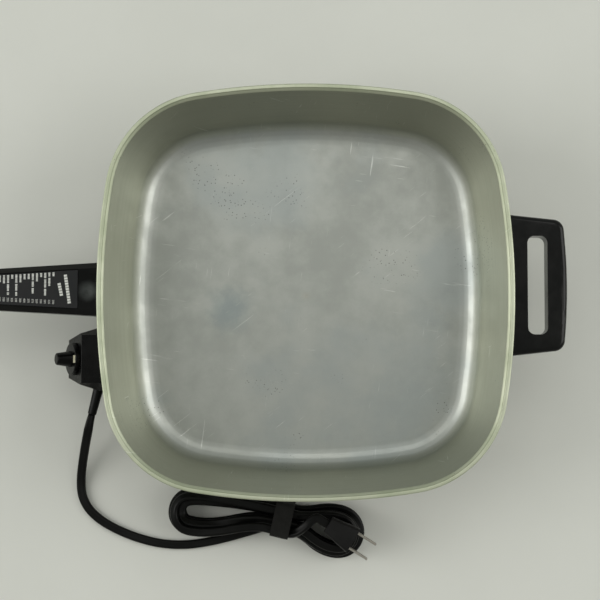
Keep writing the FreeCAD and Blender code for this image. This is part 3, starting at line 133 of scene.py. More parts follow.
def loft(name, rings, sharp=None):
    """A skin over closed rows of points in metres, with a fan to the middle of each end."""
    rings = np.asarray(rings, float)
    count, around = rings.shape[:2]
    vertices, faces = rings.reshape(-1, 3), ring_faces(count, around).reshape(-1, 4).tolist()
    j = np.arange(around)
    for row in (0, count - 1):
        vertices = np.vstack([vertices, rings[row].mean(0)])
        middle = np.full(around, len(vertices) - 1)
        faces += np.stack([j + row * around, (j + 1) % around + row * around, middle], -1).tolist()
    data = mesh_from(name, vertices, faces)
    if sharp:
        data.set_sharp_from_angle(angle=math.radians(sharp))
    return data


def turned_corners(corners, radii, steps):
    """A line through corners, each turned by an arc of its own radius; 0 leaves it sharp.

    An arc of radius r in a corner of half angle h starts r / tan(h) before the corner and has its
    centre r / sin(h) from it along the bisector."""
    corners = np.asarray(corners, float)
    rows = []
    for k, corner in enumerate(corners):
        if radii[k] == 0:
            rows.append(corner[None])
            continue
        before, after = corners[k - 1] - corner, corners[k + 1] - corner
        before, after = before / np.linalg.norm(before), after / np.linalg.norm(after)
        half = math.acos(np.clip(before @ after, -1, 1)) / 2
        centre = corner + (before + after) / np.linalg.norm(before + after) * radii[k] / math.sin(half)
        start = corner + before * radii[k] / math.tan(half) - centre
        end = corner + after * radii[k] / math.tan(half) - centre
        whole, share = math.pi - 2 * half, np.linspace(0, 1, steps)[:, None]
        fan = np.sin((1 - share) * whole) * start + np.sin(share * whole) * end
        rows.append(centre + fan / math.sin(whole))
    return np.vstack(rows)


JOIN = 2e-6
BOX_FACES = ((0, 1, 3, 2), (4, 6, 7, 5), (0, 4, 5, 1), (2, 3, 7, 6), (0, 2, 6, 4), (1, 5, 7, 3))


def merged(node):
    """A copy of a node's mesh whose flat faces are whole again: points closer than JOIN become
    one, and edges between faces that lie in one plane go."""
    work = bmesh.new()
    work.from_mesh(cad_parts[node].data)
    bmesh.ops.remove_doubles(work, verts=work.verts, dist=JOIN)
    bmesh.ops.dissolve_limit(work, angle_limit=math.radians(0.5), verts=work.verts, edges=work.edges)
    data = bpy.data.meshes.new(node + "_form")
    work.to_mesh(data)
    work.free()
    return data


def eased(node, body, width, segments, material):
    """A copy of a node with its hard edges rounded."""
    data = merged(node)
    data.shade_smooth()
    data.set_sharp_from_angle(angle=math.radians(30))
    piece = piece_from(node + "_eased", data, body, node)
    bevel = piece.modifiers.new("edge", "BEVEL")
    bevel.width, bevel.segments, bevel.limit_method = width * MM, segments, "ANGLE"
    bevel.angle_limit, bevel.harden_normals = math.radians(28), True
    data.materials.clear()
    data.materials.append(material)


def block(name, low, high, body, width, material):
    """A box with rounded edges, from its low to its high corner in millimetres."""
    low, high = np.array(low, float), np.array(high, float)
    unit = np.array([(x, y, z) for x in (0, 1) for y in (0, 1) for z in (0, 1)])
    piece = piece_from(name, mesh_from(name, placed(low + unit * (high - low)), BOX_FACES), body)
    bevel = piece.modifiers.new("edge", "BEVEL")
    bevel.width, bevel.segments, bevel.harden_normals = width * MM, 3, True
    piece.data.materials.append(material)


# Looks: shared groups give masks and colours, and each material keeps its own shader
def feed(tree, socket, value):
    """Link a socket, or set it to a constant; a colour gets its fourth value."""
    if isinstance(value, bpy.types.NodeSocket):
        tree.links.new(value, socket)
    elif isinstance(value, tuple) and len(value) < len(socket.default_value):
        socket.default_value = (*value, 1)
    else:
        socket.default_value = value


def add(tree, kind, settings=None, **inputs):
    """A shader node with its settings and its inputs by name."""
    made = tree.nodes.new("ShaderNode" + kind)
    for name, value in (settings or {}).items():
        setattr(made, name, value)
    for name, value in inputs.items():
        feed(tree, made.inputs[name.replace("_", " ")], value)
    return made


def calc(tree, operation, first, second=0.0):
    made = tree.nodes.new("ShaderNodeMath")
    made.operation, made.use_clamp = operation, operation not in ("MULTIPLY", "ADD", "SUBTRACT")
    feed(tree, made.inputs[0], first)
    feed(tree, made.inputs[1], second)
    return made.outputs[0]


def times(tree, first, second):
    return calc(tree, "MULTIPLY", first, second)


def plus(tree, first, second):
    return calc(tree, "ADD", first, second)


def spread(tree, value, low, high, to_low=0.0, to_high=1.0):
    """The value carried smoothly from one range to another."""
    limits = {"From_Min": low, "From_Max": high, "To_Min": to_low, "To_Max": to_high}
    made = add(tree, "MapRange", {"interpolation_type": "SMOOTHSTEP"}, Value=value, **limits)
    return made.outputs[0]


def blend(tree, share, first, second):
    """A colour between two, by a share."""
    made = add(tree, "Mix", {"data_type": "RGBA"})
    for k, part in ((0, share), (6, first), (7, second)):
        feed(tree, made.inputs[k], part)
    return made.outputs[2]


def noise(tree, vector, scale, detail=4.0, rough=0.55):
    return add(tree, "TexNoise", Vector=vector, Scale=scale, Detail=detail, Roughness=rough).outputs[0]


def stretched(tree, vector, scale, turn=0.0):
    made = add(tree, "Mapping", Vector=vector)
    made.inputs["Scale"].default_value = scale
    made.inputs["Rotation"].default_value = (0, 0, math.radians(turn))
    return made.outputs[0]


def shared(name, inputs, outputs, build):
    """A node group; build takes its tree and input sockets and gives the output values."""
    tree = bpy.data.node_groups.new(name, "ShaderNodeTree")
    for label, kind in inputs.items():
        tree.interface.new_socket(label, in_out="INPUT", socket_type="NodeSocket" + kind)
    for label in outputs:
        tree.interface.new_socket(label, in_out="OUTPUT", socket_type="NodeSocketFloat")
    start, end = tree.nodes.new("NodeGroupInput"), tree.nodes.new("NodeGroupOutput")
    for socket, value in zip(end.inputs, build(tree, *start.outputs[: len(inputs)])):
        tree.links.new(value, socket)
    return tree


def use(tree, group, **inputs):
    """The outputs of a shared group used in a material."""
    made = tree.nodes.new("ShaderNodeGroup")
    made.node_tree = group
    for name, value in inputs.items():
        feed(tree, made.inputs[name], value)
    return made.outputs


def build_blotches(tree, vector, scale):
    """Two sizes of cloudy patches."""
    wide = noise(tree, vector, scale, 3.0, 0.5)
    fine = noise(tree, vector, times(tree, scale, 4.3), 6.0, 0.65)
    both = plus(tree, times(tree, wide, 0.65), times(tree, fine, 0.35))
    return spread(tree, both, 0.36, 0.64), fine


def build_scratches(tree, vector, scale):
    """Sparse hairlines in three directions."""
    total = None
    for turn, seed in ((8.0, 0.0), (97.0, 3.1), (-38.0, 7.7)):
        moved = add(tree, "Mapping", Vector=vector)
        moved.inputs["Rotation"].default_value = (0, 0, math.radians(turn))
        moved.inputs["Location"].default_value = (seed, seed, 0)
        long = stretched(tree, moved.outputs[0], (1.0, 26.0, 1.0))
        line = spread(tree, noise(tree, long, scale, 2.0, 0.5), 0.70, 0.735)
        gaps = noise(tree, moved.outputs[0], times(tree, scale, 0.9), 2.0)
        line = times(tree, line, spread(tree, gaps, 0.52, 0.62))
        total = line if total is None else calc(tree, "MAXIMUM", total, line)
    return (total,)


def build_pits(tree, vector, scale):
    """Small dark pits that gather in clusters."""
    cell = add(tree, "TexVoronoi", Vector=vector, Scale=scale).outputs["Distance"]
    dot = spread(tree, cell, 0.24, 0.10)
    cluster = spread(tree, noise(tree, vector, times(tree, scale, 0.045), 2.0), 0.60, 0.68)
    return (times(tree, dot, cluster),)


PLACED = {"Vector": "Vector", "Scale": "Float"}
BLOTCHES = shared("Blotches", PLACED, ("Patches", "Fine"), build_blotches)
SCRATCHES = shared("Scratches", PLACED, ("Lines",), build_scratches)
PITS = shared("Pits", PLACED, ("Dots",), build_pits)


def new_look(name, **inputs):
    """A material, its tree, its shader and its object coordinates."""
    material = bpy.data.materials.new(name)
    material.use_nodes = True
    tree = material.node_tree
    shader = tree.nodes["Principled BSDF"]
    for label, value in inputs.items():
        feed(tree, shader.inputs[label.replace("_", " ")], value)
    return material, tree, shader, add(tree, "TexCoord").outputs["Object"]


def near_to(tree, here, centre, ragged, outer, inner):
    """A mask that is full within inner and none beyond outer of a place in millimetres."""
    away = add(tree, "VectorMath", {"operation": "DISTANCE"})
    feed(tree, away.inputs[0], here)
    away.inputs[1].default_value = at(*centre)
    return spread(tree, plus(tree, away.outputs["Value"], ragged), outer * MM, inner * MM)


def raised(tree, shader, height, strength, distance):
    """Fine relief that is too small for the mesh."""
    made = add(tree, "Bump", Height=height, Strength=strength, Distance=distance)
    tree.links.new(made.outputs[0], shader.inputs["Normal"])


STAIN_PLACE = (-57.0, -10.0, 43.0)
# Place and radius in millimetres of a painted sheen on the handle's sloping top near the pan
SHEEN_PLACE, SHEEN_RADIUS = (-154.5, 1.0, 91.5), 9.0


def cast_look():
    """Aged cast aluminium: cloudy floor, fine lines round the walls, whose paler olive colour is a
    painted reflection of the surroundings, and a paler, yellower rim.
    """
    material, tree, shader, here = new_look("cast_aluminium", Metallic=1.0)
    masks = (add(tree, "Attribute", {"attribute_name": name}) for name in ("wall", "rim", "outside"))
    wall, rim, outside = (mask.outputs["Fac"] for mask in masks)
    patches, fine = use(tree, BLOTCHES, Vector=here, Scale=17.0)[:2]
    lines = use(tree, SCRATCHES, Vector=here, Scale=34.0)[0]
    hair = use(tree, SCRATCHES, Vector=stretched(tree, here, (1, 1, 1), 61.0), Scale=95.0)[0]
    dots = use(tree, PITS, Vector=here, Scale=420.0)[0]
    around = noise(tree, stretched(tree, here, (2.5, 2.5, 330.0)), 3.0, 5.0, 0.6)
    brushed = noise(tree, stretched(tree, here, (260.0, 9.0, 9.0), 4.0), 3.0, 4.0, 0.6)
    colour = blend(tree, patches, (0.355, 0.37, 0.345), (0.44, 0.455, 0.425))
    cool = spread(tree, noise(tree, here, 11.0, 4.0), 0.50, 0.70)
    colour = blend(tree, times(tree, cool, 0.55), colour, (0.33, 0.365, 0.365))
    stain = near_to(tree, here, STAIN_PLACE, times(tree, fine, 0.022), 34.0, 14.0)
    colour = blend(tree, times(tree, stain, 0.45), colour, (0.23, 0.29, 0.31))
    # The walls' paler olive colour is a painted reflection of the surroundings; the fine bands round
    # them belong to the metal
    side = blend(tree, around, (0.42, 0.43, 0.345), (0.54, 0.55, 0.46))
    colour = blend(tree, wall, colour, side)
    # The rim band is paler and yellower than the floor
    colour = blend(tree, rim, colour, blend(tree, patches, (0.46, 0.50, 0.37), (0.58, 0.61, 0.48)))
    colour = blend(tree, outside, colour, blend(tree, patches, (0.36, 0.36, 0.32), (0.46, 0.46, 0.41)))
    colour = blend(tree, times(tree, dots, 0.75), colour, (0.10, 0.10, 0.09))
    colour = blend(tree, times(tree, lines, 0.35), colour, (0.86, 0.87, 0.84))
    tree.links.new(colour, shader.inputs["Base Color"])
    rough = spread(tree, patches, 0.0, 1.0, 0.47, 0.39)
    rough = plus(tree, rough, times(tree, brushed, 0.06))
    rough = plus(tree, rough, times(tree, rim, 0.10))
    rough = plus(tree, rough, times(tree, outside, 0.10))
    rough = calc(tree, "SUBTRACT", rough, times(tree, lines, 0.12))
    tree.links.new(rough, shader.inputs["Roughness"])
    height = plus(tree, times(tree, brushed, 0.25), times(tree, noise(tree, here, 300.0, 3.0), 0.35))
    height = calc(tree, "SUBTRACT", height, dots)
    height = calc(tree, "SUBTRACT", height, times(tree, calc(tree, "MAXIMUM", lines, hair), 0.6))
    raised(tree, shader, height, 0.35, 0.00012)
    return material


def moulded_look(name, colour, roughness, dust, gloss, sheen=None):
    """Black moulded plastic or phenolic with faint dust and rubbed patches; the optional place and
    radius in millimetres give a lighter greyed area, a painted sheen."""
    material, tree, shader, here = new_look(name, Metallic=0.0, Specular_IOR_Level=gloss)
    patches, fine = use(tree, BLOTCHES, Vector=here, Scale=45.0)[:2]
    specks = use(tree, PITS, Vector=here, Scale=900.0)[0]
    share = plus(tree, times(tree, patches, dust), times(tree, specks, dust * 4))
    colour = blend(tree, share, colour, (0.20, 0.20, 0.18))
    # Painted sheen: a lighter grey patch where the handle's sloping top catches the light
    if sheen:
        centre, radius = sheen
        near = near_to(tree, here, centre, times(tree, fine, 0.006), radius + 3.0, radius * 0.5)
        sheen_colour = blend(tree, patches, (0.025, 0.028, 0.027), (0.10, 0.108, 0.104))
        colour = blend(tree, near, colour, sheen_colour)
    tree.links.new(colour, shader.inputs["Base Color"])
    rough = spread(tree, patches, 0.0, 1.0, roughness, roughness + 0.10)
    tree.links.new(rough, shader.inputs["Roughness"])
    raised(tree, shader, noise(tree, here, 700.0, 3.0), 0.12, 0.0001)
    return material


def metal_look(name, colour, stained, roughness):
    """Plated or plain metal with stains and fine wear."""
    material, tree, shader, here = new_look(name, Metallic=1.0)
    patches = use(tree, BLOTCHES, Vector=here, Scale=90.0)[0]
    lines = use(tree, SCRATCHES, Vector=here, Scale=220.0)[0]
    colour = blend(tree, times(tree, patches, 0.7), colour, stained)
    tree.links.new(colour, shader.inputs["Base Color"])
    rough = spread(tree, patches, 0.0, 1.0, roughness, roughness + 0.16)
    tree.links.new(plus(tree, rough, times(tree, lines, 0.1)), shader.inputs["Roughness"])
    raised(tree, shader, plus(tree, lines, noise(tree, here, 900.0, 2.0)), 0.1, 0.0001)
    return material


def dull_look(name, first, second, scale, roughness):
    """Unglazed, painted or printed surfaces: two close colours and a fine grain."""
    material, tree, shader, here = new_look(
        name, Metallic=0.0, Roughness=roughness, Specular_IOR_Level=0.3
    )
    patches, fine = use(tree, BLOTCHES, Vector=here, Scale=scale)[:2]
    tree.links.new(blend(tree, patches, first, second), shader.inputs["Base Color"])
    raised(tree, shader, fine, 0.2, 0.00015)
    return material


def woven_look():
    """A dark woven band: two crossed wave grids."""
    material, tree, shader, here = new_look(
        "tie_fabric", Metallic=0.0, Roughness=0.85, Specular_IOR_Level=0.2
    )
    grid = []
    for turn in (32.0, -58.0):
        turned = stretched(tree, here, (1, 1, 1), turn)
        wave = add(tree, "TexWave", {"wave_type": "BANDS"}, Vector=turned, Scale=430.0)
        wave.inputs["Distortion"].default_value = 1.2
        grid.append(wave.outputs["Fac"])
    weave = calc(tree, "MAXIMUM", *grid)
    fluff = noise(tree, here, 260.0, 5.0)
    colour = blend(tree, times(tree, weave, fluff), (0.004, 0.004, 0.0035), (0.022, 0.022, 0.02))
    tree.links.new(colour, shader.inputs["Base Color"])
    raised(tree, shader, weave, 0.6, 0.0003)
    return material


CAST = cast_look()
BAKELITE = moulded_look("black_bakelite", (0.0028, 0.003, 0.0029), 0.14, 0.012, 0.2)
# The grip carries the painted sheen patch on its top
GRIP = moulded_look(
    "grip_bakelite", (0.0022, 0.0024, 0.0023), 0.16, 0.008, 0.15, sheen=(SHEEN_PLACE, SHEEN_RADIUS)
)
HOUSING = moulded_look("housing_phenolic", (0.002, 0.002, 0.002), 0.24, 0.006, 0.14)
CORD_BLACK = moulded_look("cord_rubber", (0.0024, 0.0026, 0.0023), 0.32, 0.004, 0.15)
PLUG_BLACK = moulded_look("plug_rubber", (0.004, 0.004, 0.004), 0.40, 0.015, 0.2)
PLATE_BLACK = dull_look("label_plate", (0.004, 0.005, 0.006), (0.007, 0.007, 0.008), 60.0, 0.38)
PRINT = dull_look("label_print", (0.52, 0.53, 0.50), (0.66, 0.67, 0.64), 400.0, 0.6)
CREAM = dull_look("cream_inlay", (0.44, 0.42, 0.30), (0.55, 0.53, 0.40), 500.0, 0.5)
CERAMIC = dull_look("ceramic", (0.60, 0.58, 0.52), (0.72, 0.70, 0.64), 200.0, 0.7)
SHEATH = metal_look("sheath_steel", (0.26, 0.24, 0.22), (0.34, 0.27, 0.20), 0.42)
PIN_STEEL = metal_look("pin_steel", (0.60, 0.59, 0.56), (0.48, 0.46, 0.42), 0.25)
GUARD_STEEL = metal_look("guard_steel", (0.42, 0.42, 0.41), (0.33, 0.32, 0.30), 0.45)
SCREW_STEEL = metal_look("screw_steel", (0.50, 0.50, 0.48), (0.40, 0.38, 0.34), 0.35)
RAW_CAST = metal_look("raw_casting", (0.42, 0.42, 0.39), (0.33, 0.32, 0.29), 0.55)
BRASS = metal_look("brass", (0.58, 0.43, 0.20), (0.40, 0.29, 0.15), 0.35)
PRONG = metal_look("prong_metal", (0.44, 0.42, 0.37), (0.26, 0.24, 0.21), 0.34)
WOVEN = woven_look()


# The pan: one skin from the floor's middle over the rim to the middle of the underside
RIM_HALF, SIDE_BOW, CORNER_RADIUS = 146.0, 485.0, 75.0
FLOOR_TOP, UNDERSIDE, LEDGE_TOP, LIP_BOTTOM, RIM_TOP = 43.0, 38.0, 104.8, 101.0, 106.0
FLAT_HALF, FLOOR_HALF, BASE_HALF = 88.0, 126.0, 130.0
RIM_FROM, WALL_FROM, WALL_FADE, OUTSIDE_TO = 103.6, 46.0, 10.0, 105.0
AROUND, LOWER_ROUND = 224, 2.0


def outline(half):
    """A bowed square whose flats are half away from the middle: eight arcs, all concentric with the
    rim's, so that a smaller outline is the rim's with every radius less by the same amount."""
    count = AROUND // 8
    flat = RIM_HALF - SIDE_BOW
    corner = (flat + math.sqrt(2 * (SIDE_BOW - CORNER_RADIUS) ** 2 - flat**2)) / 2
    turn = math.atan2(corner, corner - flat)
    side = np.linspace(-turn, turn, count, endpoint=False)
    bend = np.linspace(turn, math.pi / 2 - turn, count, endpoint=False)
    angle = np.concatenate([side, bend])
    radius = np.repeat([SIDE_BOW, CORNER_RADIUS], count) - (RIM_HALF - half)
    middle = np.repeat([(flat, 0.0), (corner, corner)], count, axis=0)
    quarter = middle + radius[:, None] * np.stack([np.cos(angle), np.sin(angle)], -1)
    turns = np.arange(4)[:, None] * math.pi / 2
    cos, sin, x, y = np.cos(turns), np.sin(turns), quarter[:, 0], quarter[:, 1]
    return np.stack([x * cos - y * sin, x * sin + y * cos], -1).reshape(-1, 2)


def pan_profile():
    """Half width and height from the floor, up the wall, over the rim and down to the underside."""
    corners = (
        (FLAT_HALF, FLOOR_TOP, 0),
        (FLOOR_HALF, FLOOR_TOP, 15),
        (141.5, LEDGE_TOP, 0.5),
        (143.1, LEDGE_TOP, 0.4),
        (143.1, RIM_TOP, 0.5),
        (RIM_HALF, RIM_TOP, 0.9),
        (RIM_HALF, LIP_BOTTOM, 0.8),
        (143.8, LIP_BOTTOM, 0.8),
        (BASE_HALF, UNDERSIDE, 17),
        (FLAT_HALF, UNDERSIDE, 0),
    )
    corners = np.array(corners, float)
    return turned_corners(corners[:, :2], corners[:, 2], 7)


def make_pan():
    """The profile, with more stops along its straight stretches, gives one outline to each stop;
    the flats inside and below are the first and last outlines drawn in towards the middle. Masks
    for the rim, the wall and the outside go with the points."""
    profile = pan_profile()
    stretch = np.linalg.norm(np.diff(profile, axis=0), axis=1)
    far = np.concatenate([[0], np.cumsum(stretch)])
    extra = np.linspace(0, far[-1], 60)
    stops = np.unique(np.concatenate([far, extra]))
    stops = stops[np.concatenate([[True], np.diff(stops) > 0.12])]
    profile = np.stack([np.interp(stops, far, profile[:, k]) for k in (0, 1)], -1)
    rings = np.stack([np.column_stack([outline(half), np.full(AROUND, z)]) for half, z in profile])
    shares = np.linspace(0.04, 0.96, 14)[:, None, None]
    inner, under = rings[0] * (1, 1, 0), rings[-1] * (1, 1, 0)
    floor, base = inner * shares + (0, 0, FLOOR_TOP), under * shares + (0, 0, UNDERSIDE)
    rings = np.concatenate([floor, rings, base[::-1]])
    data = loft("pan_shell", placed(rings), sharp=60)
    heights = points_of(data)[:, 2] / MM
    row = np.minimum(np.arange(len(heights)) // AROUND, len(rings) - 1)
    top = len(shares) + int(np.argmax(profile[:, 0] >= RIM_HALF - 1.0))
    masks = {
        "rim": np.clip(heights - RIM_FROM, 0, 1),
        "wall": np.clip((heights - WALL_FROM) / WALL_FADE, 0, 1) * (row < top),
        "outside": (row >= top) * np.clip((OUTSIDE_TO - heights) / 2.0, 0, 1),
    }
    for name, values in masks.items():
        data.attributes.new(name, "FLOAT", "POINT").data.foreach_set("value", values.astype(np.float32))
    data.materials.append(CAST)
    piece_from("pan_shell", data, "skillet", "pan")


def strip(name, route, radii, half, low, high, body, material):
    """A square bar along a flat route with turned corners: each point of the section is set off
    across the route by its width and keeps its height. The lower edges are eased."""
    line = turned_corners(route, radii, 9)
    way = np.gradient(line, axis=0)
    way /= np.linalg.norm(way, axis=1)[:, None]
    across = np.stack([-way[:, 1], way[:, 0]], -1)
    sides = [(-half, high), (-half, low), (half, low), (half, high)]
    section = turned_corners(sides, [0, LOWER_ROUND, LOWER_ROUND, 0], 5)
    flat = line[:, None] + across[:, None] * section[None, :, :1]
    rings = np.concatenate([flat, np.broadcast_to(section[None, :, 1:], (*flat.shape[:2], 1))], -1)
    data = loft(name, placed(rings), sharp=40)
    data.materials.append(material)
    piece_from(name, data, body)


def make_underside():
    """The ridge round the heating element and the boss at its terminals."""
    reach, bend = 77.0, 24.0
    route = [(-reach, -56), (-reach, -reach), (reach, -reach), (reach, reach)]
    route += [(-reach, reach), (-reach, -38)]
    strip("element_ridge", route, [0, *[bend] * 4, 0], 6.5, 33.0, 39.5, "skillet", RAW_CAST)
    block("pan_boss", (-121, -63.5, 26.6), (-91, -30.5, 40.5), "skillet", 1.2, RAW_CAST)


make_pan()
make_underside()


# Supply cord: the route's points, then the hank's turns from the same rule as its solid. Each
# stretch of the hank is its share of turns, then its steps in and its layers, at start and end.
CORD_WIDTH, CORD_DEPTH, CORD_END = 6.7, 4.6, 5.2
CORD_ROUTE = (
    (-162.14, -88.52, 27.0),
    (-164.07, -96.28, 27.0),
    (-165.9, -104.0, 24.3),
    (-168.6, -113.0, 18.0),
    (-172.0, -126.0, 9.6),
    (-174.3, -140.0, 4.2),
    (-173.6, -152.0, 3.0),
    (-168.6, -162.0, 3.0),
    (-159.5, -170.4, 3.0),
    (-147.0, -177.6, 3.0),
    (-131.5, -183.9, 3.0),
    (-113.0, -188.7, 3.0),
    (-93.0, -189.7, 3.0),
    (-74.5, -186.9, 3.0),
)
HANK_ENTRY, ENTRY_HEADING = (-50.1, -180.6, 3.0), 16.0
HANK_MIDDLE = (-18.1, -167.4)
LEFT_HEADING, WAIST_HEADING, RIGHT_HEADING, PLUG_HEADING = -4.0, -13.0, -15.0, -32.0
HANK_LEFT, HANK_RIGHT = 84.0, 60.0
LEFT_HALF, RIGHT_HALF, WAIST_HALF = 15.5, 17.5, 9.0
HANK_STEP, WAIST_STEP, HANK_LAYER, CORD_LIFT = 6.8, 6.0, 6.4, 3.0
TIE_RAISE, TIE_STRAIGHT = 1.6, 4.0
TUBE = 5.6
PLUG_LENGTH, PLUG_DEPTH, PLUG_FACE = 22.0, 12.0, (34.9, -182.0)
HANK_TURNS = 5
HANK_STRETCHES = (
    (0.875, 0, 1, 0, 0),
    (0.5, 1, 1, 0, 1),
    (0.875, 1, 0, 1, 1),
    (0.5, 0, 0, 1, 2),
    (0.875, 0, 1, 2, 2),
    (0.5, 1, 1, 2, 3),
    (0.875, 1, 0, 3, 3),
)
TAIL_CLIMB, TAIL_LEVELS = 5.6, (3.3, 3.55)
TAIL_OVER = (14.0, -5.0, WAIST_HEADING, 36.0, 29.8, 15.0)
ENTRY_LEAD = 11.0


def heading(angle, climb=0.0):
    """A unit step along an angle on the table, climbing by another, in degrees."""
    flat, rise = math.radians(angle), math.radians(climb)
    return np.array([math.cos(flat) * math.cos(rise), math.sin(flat) * math.cos(rise), math.sin(rise)])


def hank_place(turns):
    """How far in, as a share of a step, and how many layers up the cord is after some turns."""
    start = 0.0
    for length, inner, inner_end, layer, layer_end in HANK_STRETCHES:
        if turns <= start + length:
            share = (turns - start) / length
            return inner + (inner_end - inner) * share, layer + (layer_end - layer) * share
        start += length
    return inner_end, layer_end


PLUG_HEIGHT = CORD_LIFT + 3 * HANK_LAYER + TUBE / 2 + 0.3 + PLUG_DEPTH / 2
PLUG_FRONT = np.array([*PLUG_FACE, PLUG_HEIGHT])
PLUG_REAR = PLUG_FRONT - heading(PLUG_HEADING) * PLUG_LENGTH


def hank_stations():
    """Points and headings along the hank: waist, right lobe, waist, left lobe, five times over."""
    stations = []

    def pass_by(along, across, lean, way, height, climb=0.0):
        middle = np.array([*HANK_MIDDLE, height])
        point = middle + heading(lean) * along + heading(lean + 90) * across
        stations.append((point, heading(way, climb)))

    entry, entry_way = np.array(HANK_ENTRY), heading(ENTRY_HEADING)
    stations += [(entry, entry_way), (entry + entry_way * TUBE, entry_way)]
    right, left = HANK_RIGHT - RIGHT_HALF, LEFT_HALF - HANK_LEFT
    for turn_number in range(HANK_TURNS):
        for share in (0.0, 0.14, 0.25, 0.36, 0.5, 0.64, 0.75, 0.86):
            inner, level = hank_place(turn_number + share)
            height = CORD_LIFT + HANK_LAYER * level
            inset = inner * (WAIST_STEP if share in (0.0, 0.5) else HANK_STEP)
            if share == 0.0:
                for shift in (-TIE_STRAIGHT, TIE_STRAIGHT):
                    pass_by(shift, inset - WAIST_HALF, WAIST_HEADING, WAIST_HEADING, height + TIE_RAISE)
            elif share == 0.5:
                back = WAIST_HEADING + 180
                for shift in (TIE_STRAIGHT, -TIE_STRAIGHT):
                    pass_by(shift, WAIST_HALF - inset, WAIST_HEADING, back, height + TIE_RAISE)
            elif share == 0.25:
                pass_by(HANK_RIGHT - inset, 0, RIGHT_HEADING, RIGHT_HEADING + 90, height)
            elif share == 0.75:
                pass_by(inset - HANK_LEFT, 0, LEFT_HEADING, LEFT_HEADING + 270, height)
            elif share < 0.25:
                pass_by(right, inset - RIGHT_HALF, RIGHT_HEADING, RIGHT_HEADING, height)
            elif share < 0.5:
                pass_by(right, RIGHT_HALF - inset, RIGHT_HEADING, RIGHT_HEADING + 180, height)
            elif share < 0.75:
                pass_by(left, LEFT_HALF - inset, LEFT_HEADING, LEFT_HEADING + 180, height)
            else:
                pass_by(left, inset - LEFT_HALF, LEFT_HEADING, LEFT_HEADING, height)
    for shift, level in zip((-TIE_STRAIGHT, TIE_STRAIGHT), TAIL_LEVELS):
        height = CORD_LIFT + HANK_LAYER * level + TIE_RAISE
        pass_by(shift, -WAIST_HALF, WAIST_HEADING, WAIST_HEADING, height, TAIL_CLIMB)
    pass_by(*TAIL_OVER)
    plug_way = heading(PLUG_HEADING)
    stations += [(PLUG_REAR - plug_way * TUBE, plug_way), (PLUG_REAR, plug_way)]
    return stations


def hank_controls():
    """Two control points between each pair of stations, one on each station's tangent, at the one
    reach from both that lets two arcs join there."""
    controls = []
    stations = hank_stations()
    for (start, way), (end, final) in zip(stations, stations[1:]):
        span = end - start
        square, across = 2 * (1 - way @ final), 2 * span @ (way + final)
        if abs(square) < 1e-9:
            reach = span @ span / across
        else:
            reach = (-across + math.sqrt(across**2 + 4 * square * span @ span)) / (2 * square)
        controls += [start + way * reach, end - final * reach]
    return controls


def cord_spline():
    """The whole cord as one NURBS curve, kept only for the points along it."""
    points = [np.array(p) for p in CORD_ROUTE]
    points.append(np.array(HANK_ENTRY) - heading(ENTRY_HEADING) * ENTRY_LEAD)
    points += hank_controls()
    points.append(PLUG_REAR)
    curve = bpy.data.curves.new("cord_route", "CURVE")
    curve.dimensions = "3D"
    curve.resolution_u = 7
    spline = curve.splines.new("NURBS")
    spline.points.add(len(points) - 1)
    for control, point in zip(spline.points, points):
        control.co = (*at(*point), 1)
    spline.order_u = 3
    spline.use_endpoint_u = True
    holder = bpy.data.objects.new("cord_route", curve)
    bpy.context.scene.collection.objects.link(holder)
    line = bpy.data.meshes.new_from_object(holder)
    path = points_of(line)
    bpy.data.objects.remove(holder)
    bpy.data.meshes.remove(line)
    return path


def sweep(name, path, section, twist, body, *nodes):
    """A section carried along a path, its width level and then turned by a twist at each point;
    the section may be one shape or one for each point."""
    tangent = np.gradient(path, axis=0)
    tangent /= np.linalg.norm(tangent, axis=1)[:, None]
    side = np.cross(np.array([0, 0, 1.0]), tangent)
    side /= np.linalg.norm(side, axis=1)[:, None]
    up = np.cross(tangent, side)
    cos, sin = np.cos(twist)[:, None], np.sin(twist)[:, None]
    wide, tall = side * cos + up * sin, up * cos - side * sin
    rings = path[:, None] + wide[:, None] * section[..., :1] + tall[:, None] * section[..., 1:]
    return piece_from(name, loft(name, rings), body, *nodes)


def cord_section(width, depth):
    """Two round cores side by side: a squared oval, whose cosine and sine are raised to powers
    below one, less a shallow bell-shaped groove along the middle of both faces."""
    angle = np.linspace(0, 2 * math.pi, 20, endpoint=False)
    x, y = np.cos(angle), np.sin(angle)
    x = np.sign(x) * np.abs(x) ** 0.75 * width / 2
    y = np.sign(y) * np.abs(y) ** 0.62 * depth / 2
    y *= 1 - 0.24 * np.exp(-((x / (width * 0.12)) ** 2))
    return np.stack([x, y], -1) * MM


def make_cord():
    """The flat twin cord. Its twist along the length is two sines of different pitch that fade out
    at both ends and where the cord lies on the table; it leaves the strain relief a little thinner."""
    path = cord_spline()
    step = np.linalg.norm(np.diff(path, axis=0), axis=1)
    far = np.concatenate([[0], np.cumsum(step)])
    twist = 0.5 * np.sin(far * 31.0) + 0.35 * np.sin(far * 83.0 + 1.0)
    twist *= np.clip((far - 0.01) / 0.05, 0, 1) * np.clip((far[-1] - far) / 0.04, 0, 1)
    low = path[:, 2] < 6.0 * MM
    flat = np.convolve(np.where(low, 0.25, 1.0), np.ones(9) / 9, "same")
    slim = np.clip(far / 0.012, 0, 1)[:, None, None]
    full, narrow = cord_section(CORD_WIDTH, CORD_DEPTH), cord_section(CORD_END, CORD_DEPTH)
    section = full * slim + narrow * (1 - slim)
    cord = sweep("supply_cord", path, section, twist * flat, "heat_control", "cord_free", "cord_hank")
    cord.data.materials.append(CORD_BLACK)
    return cord, path


cord, cord_path = make_cord()


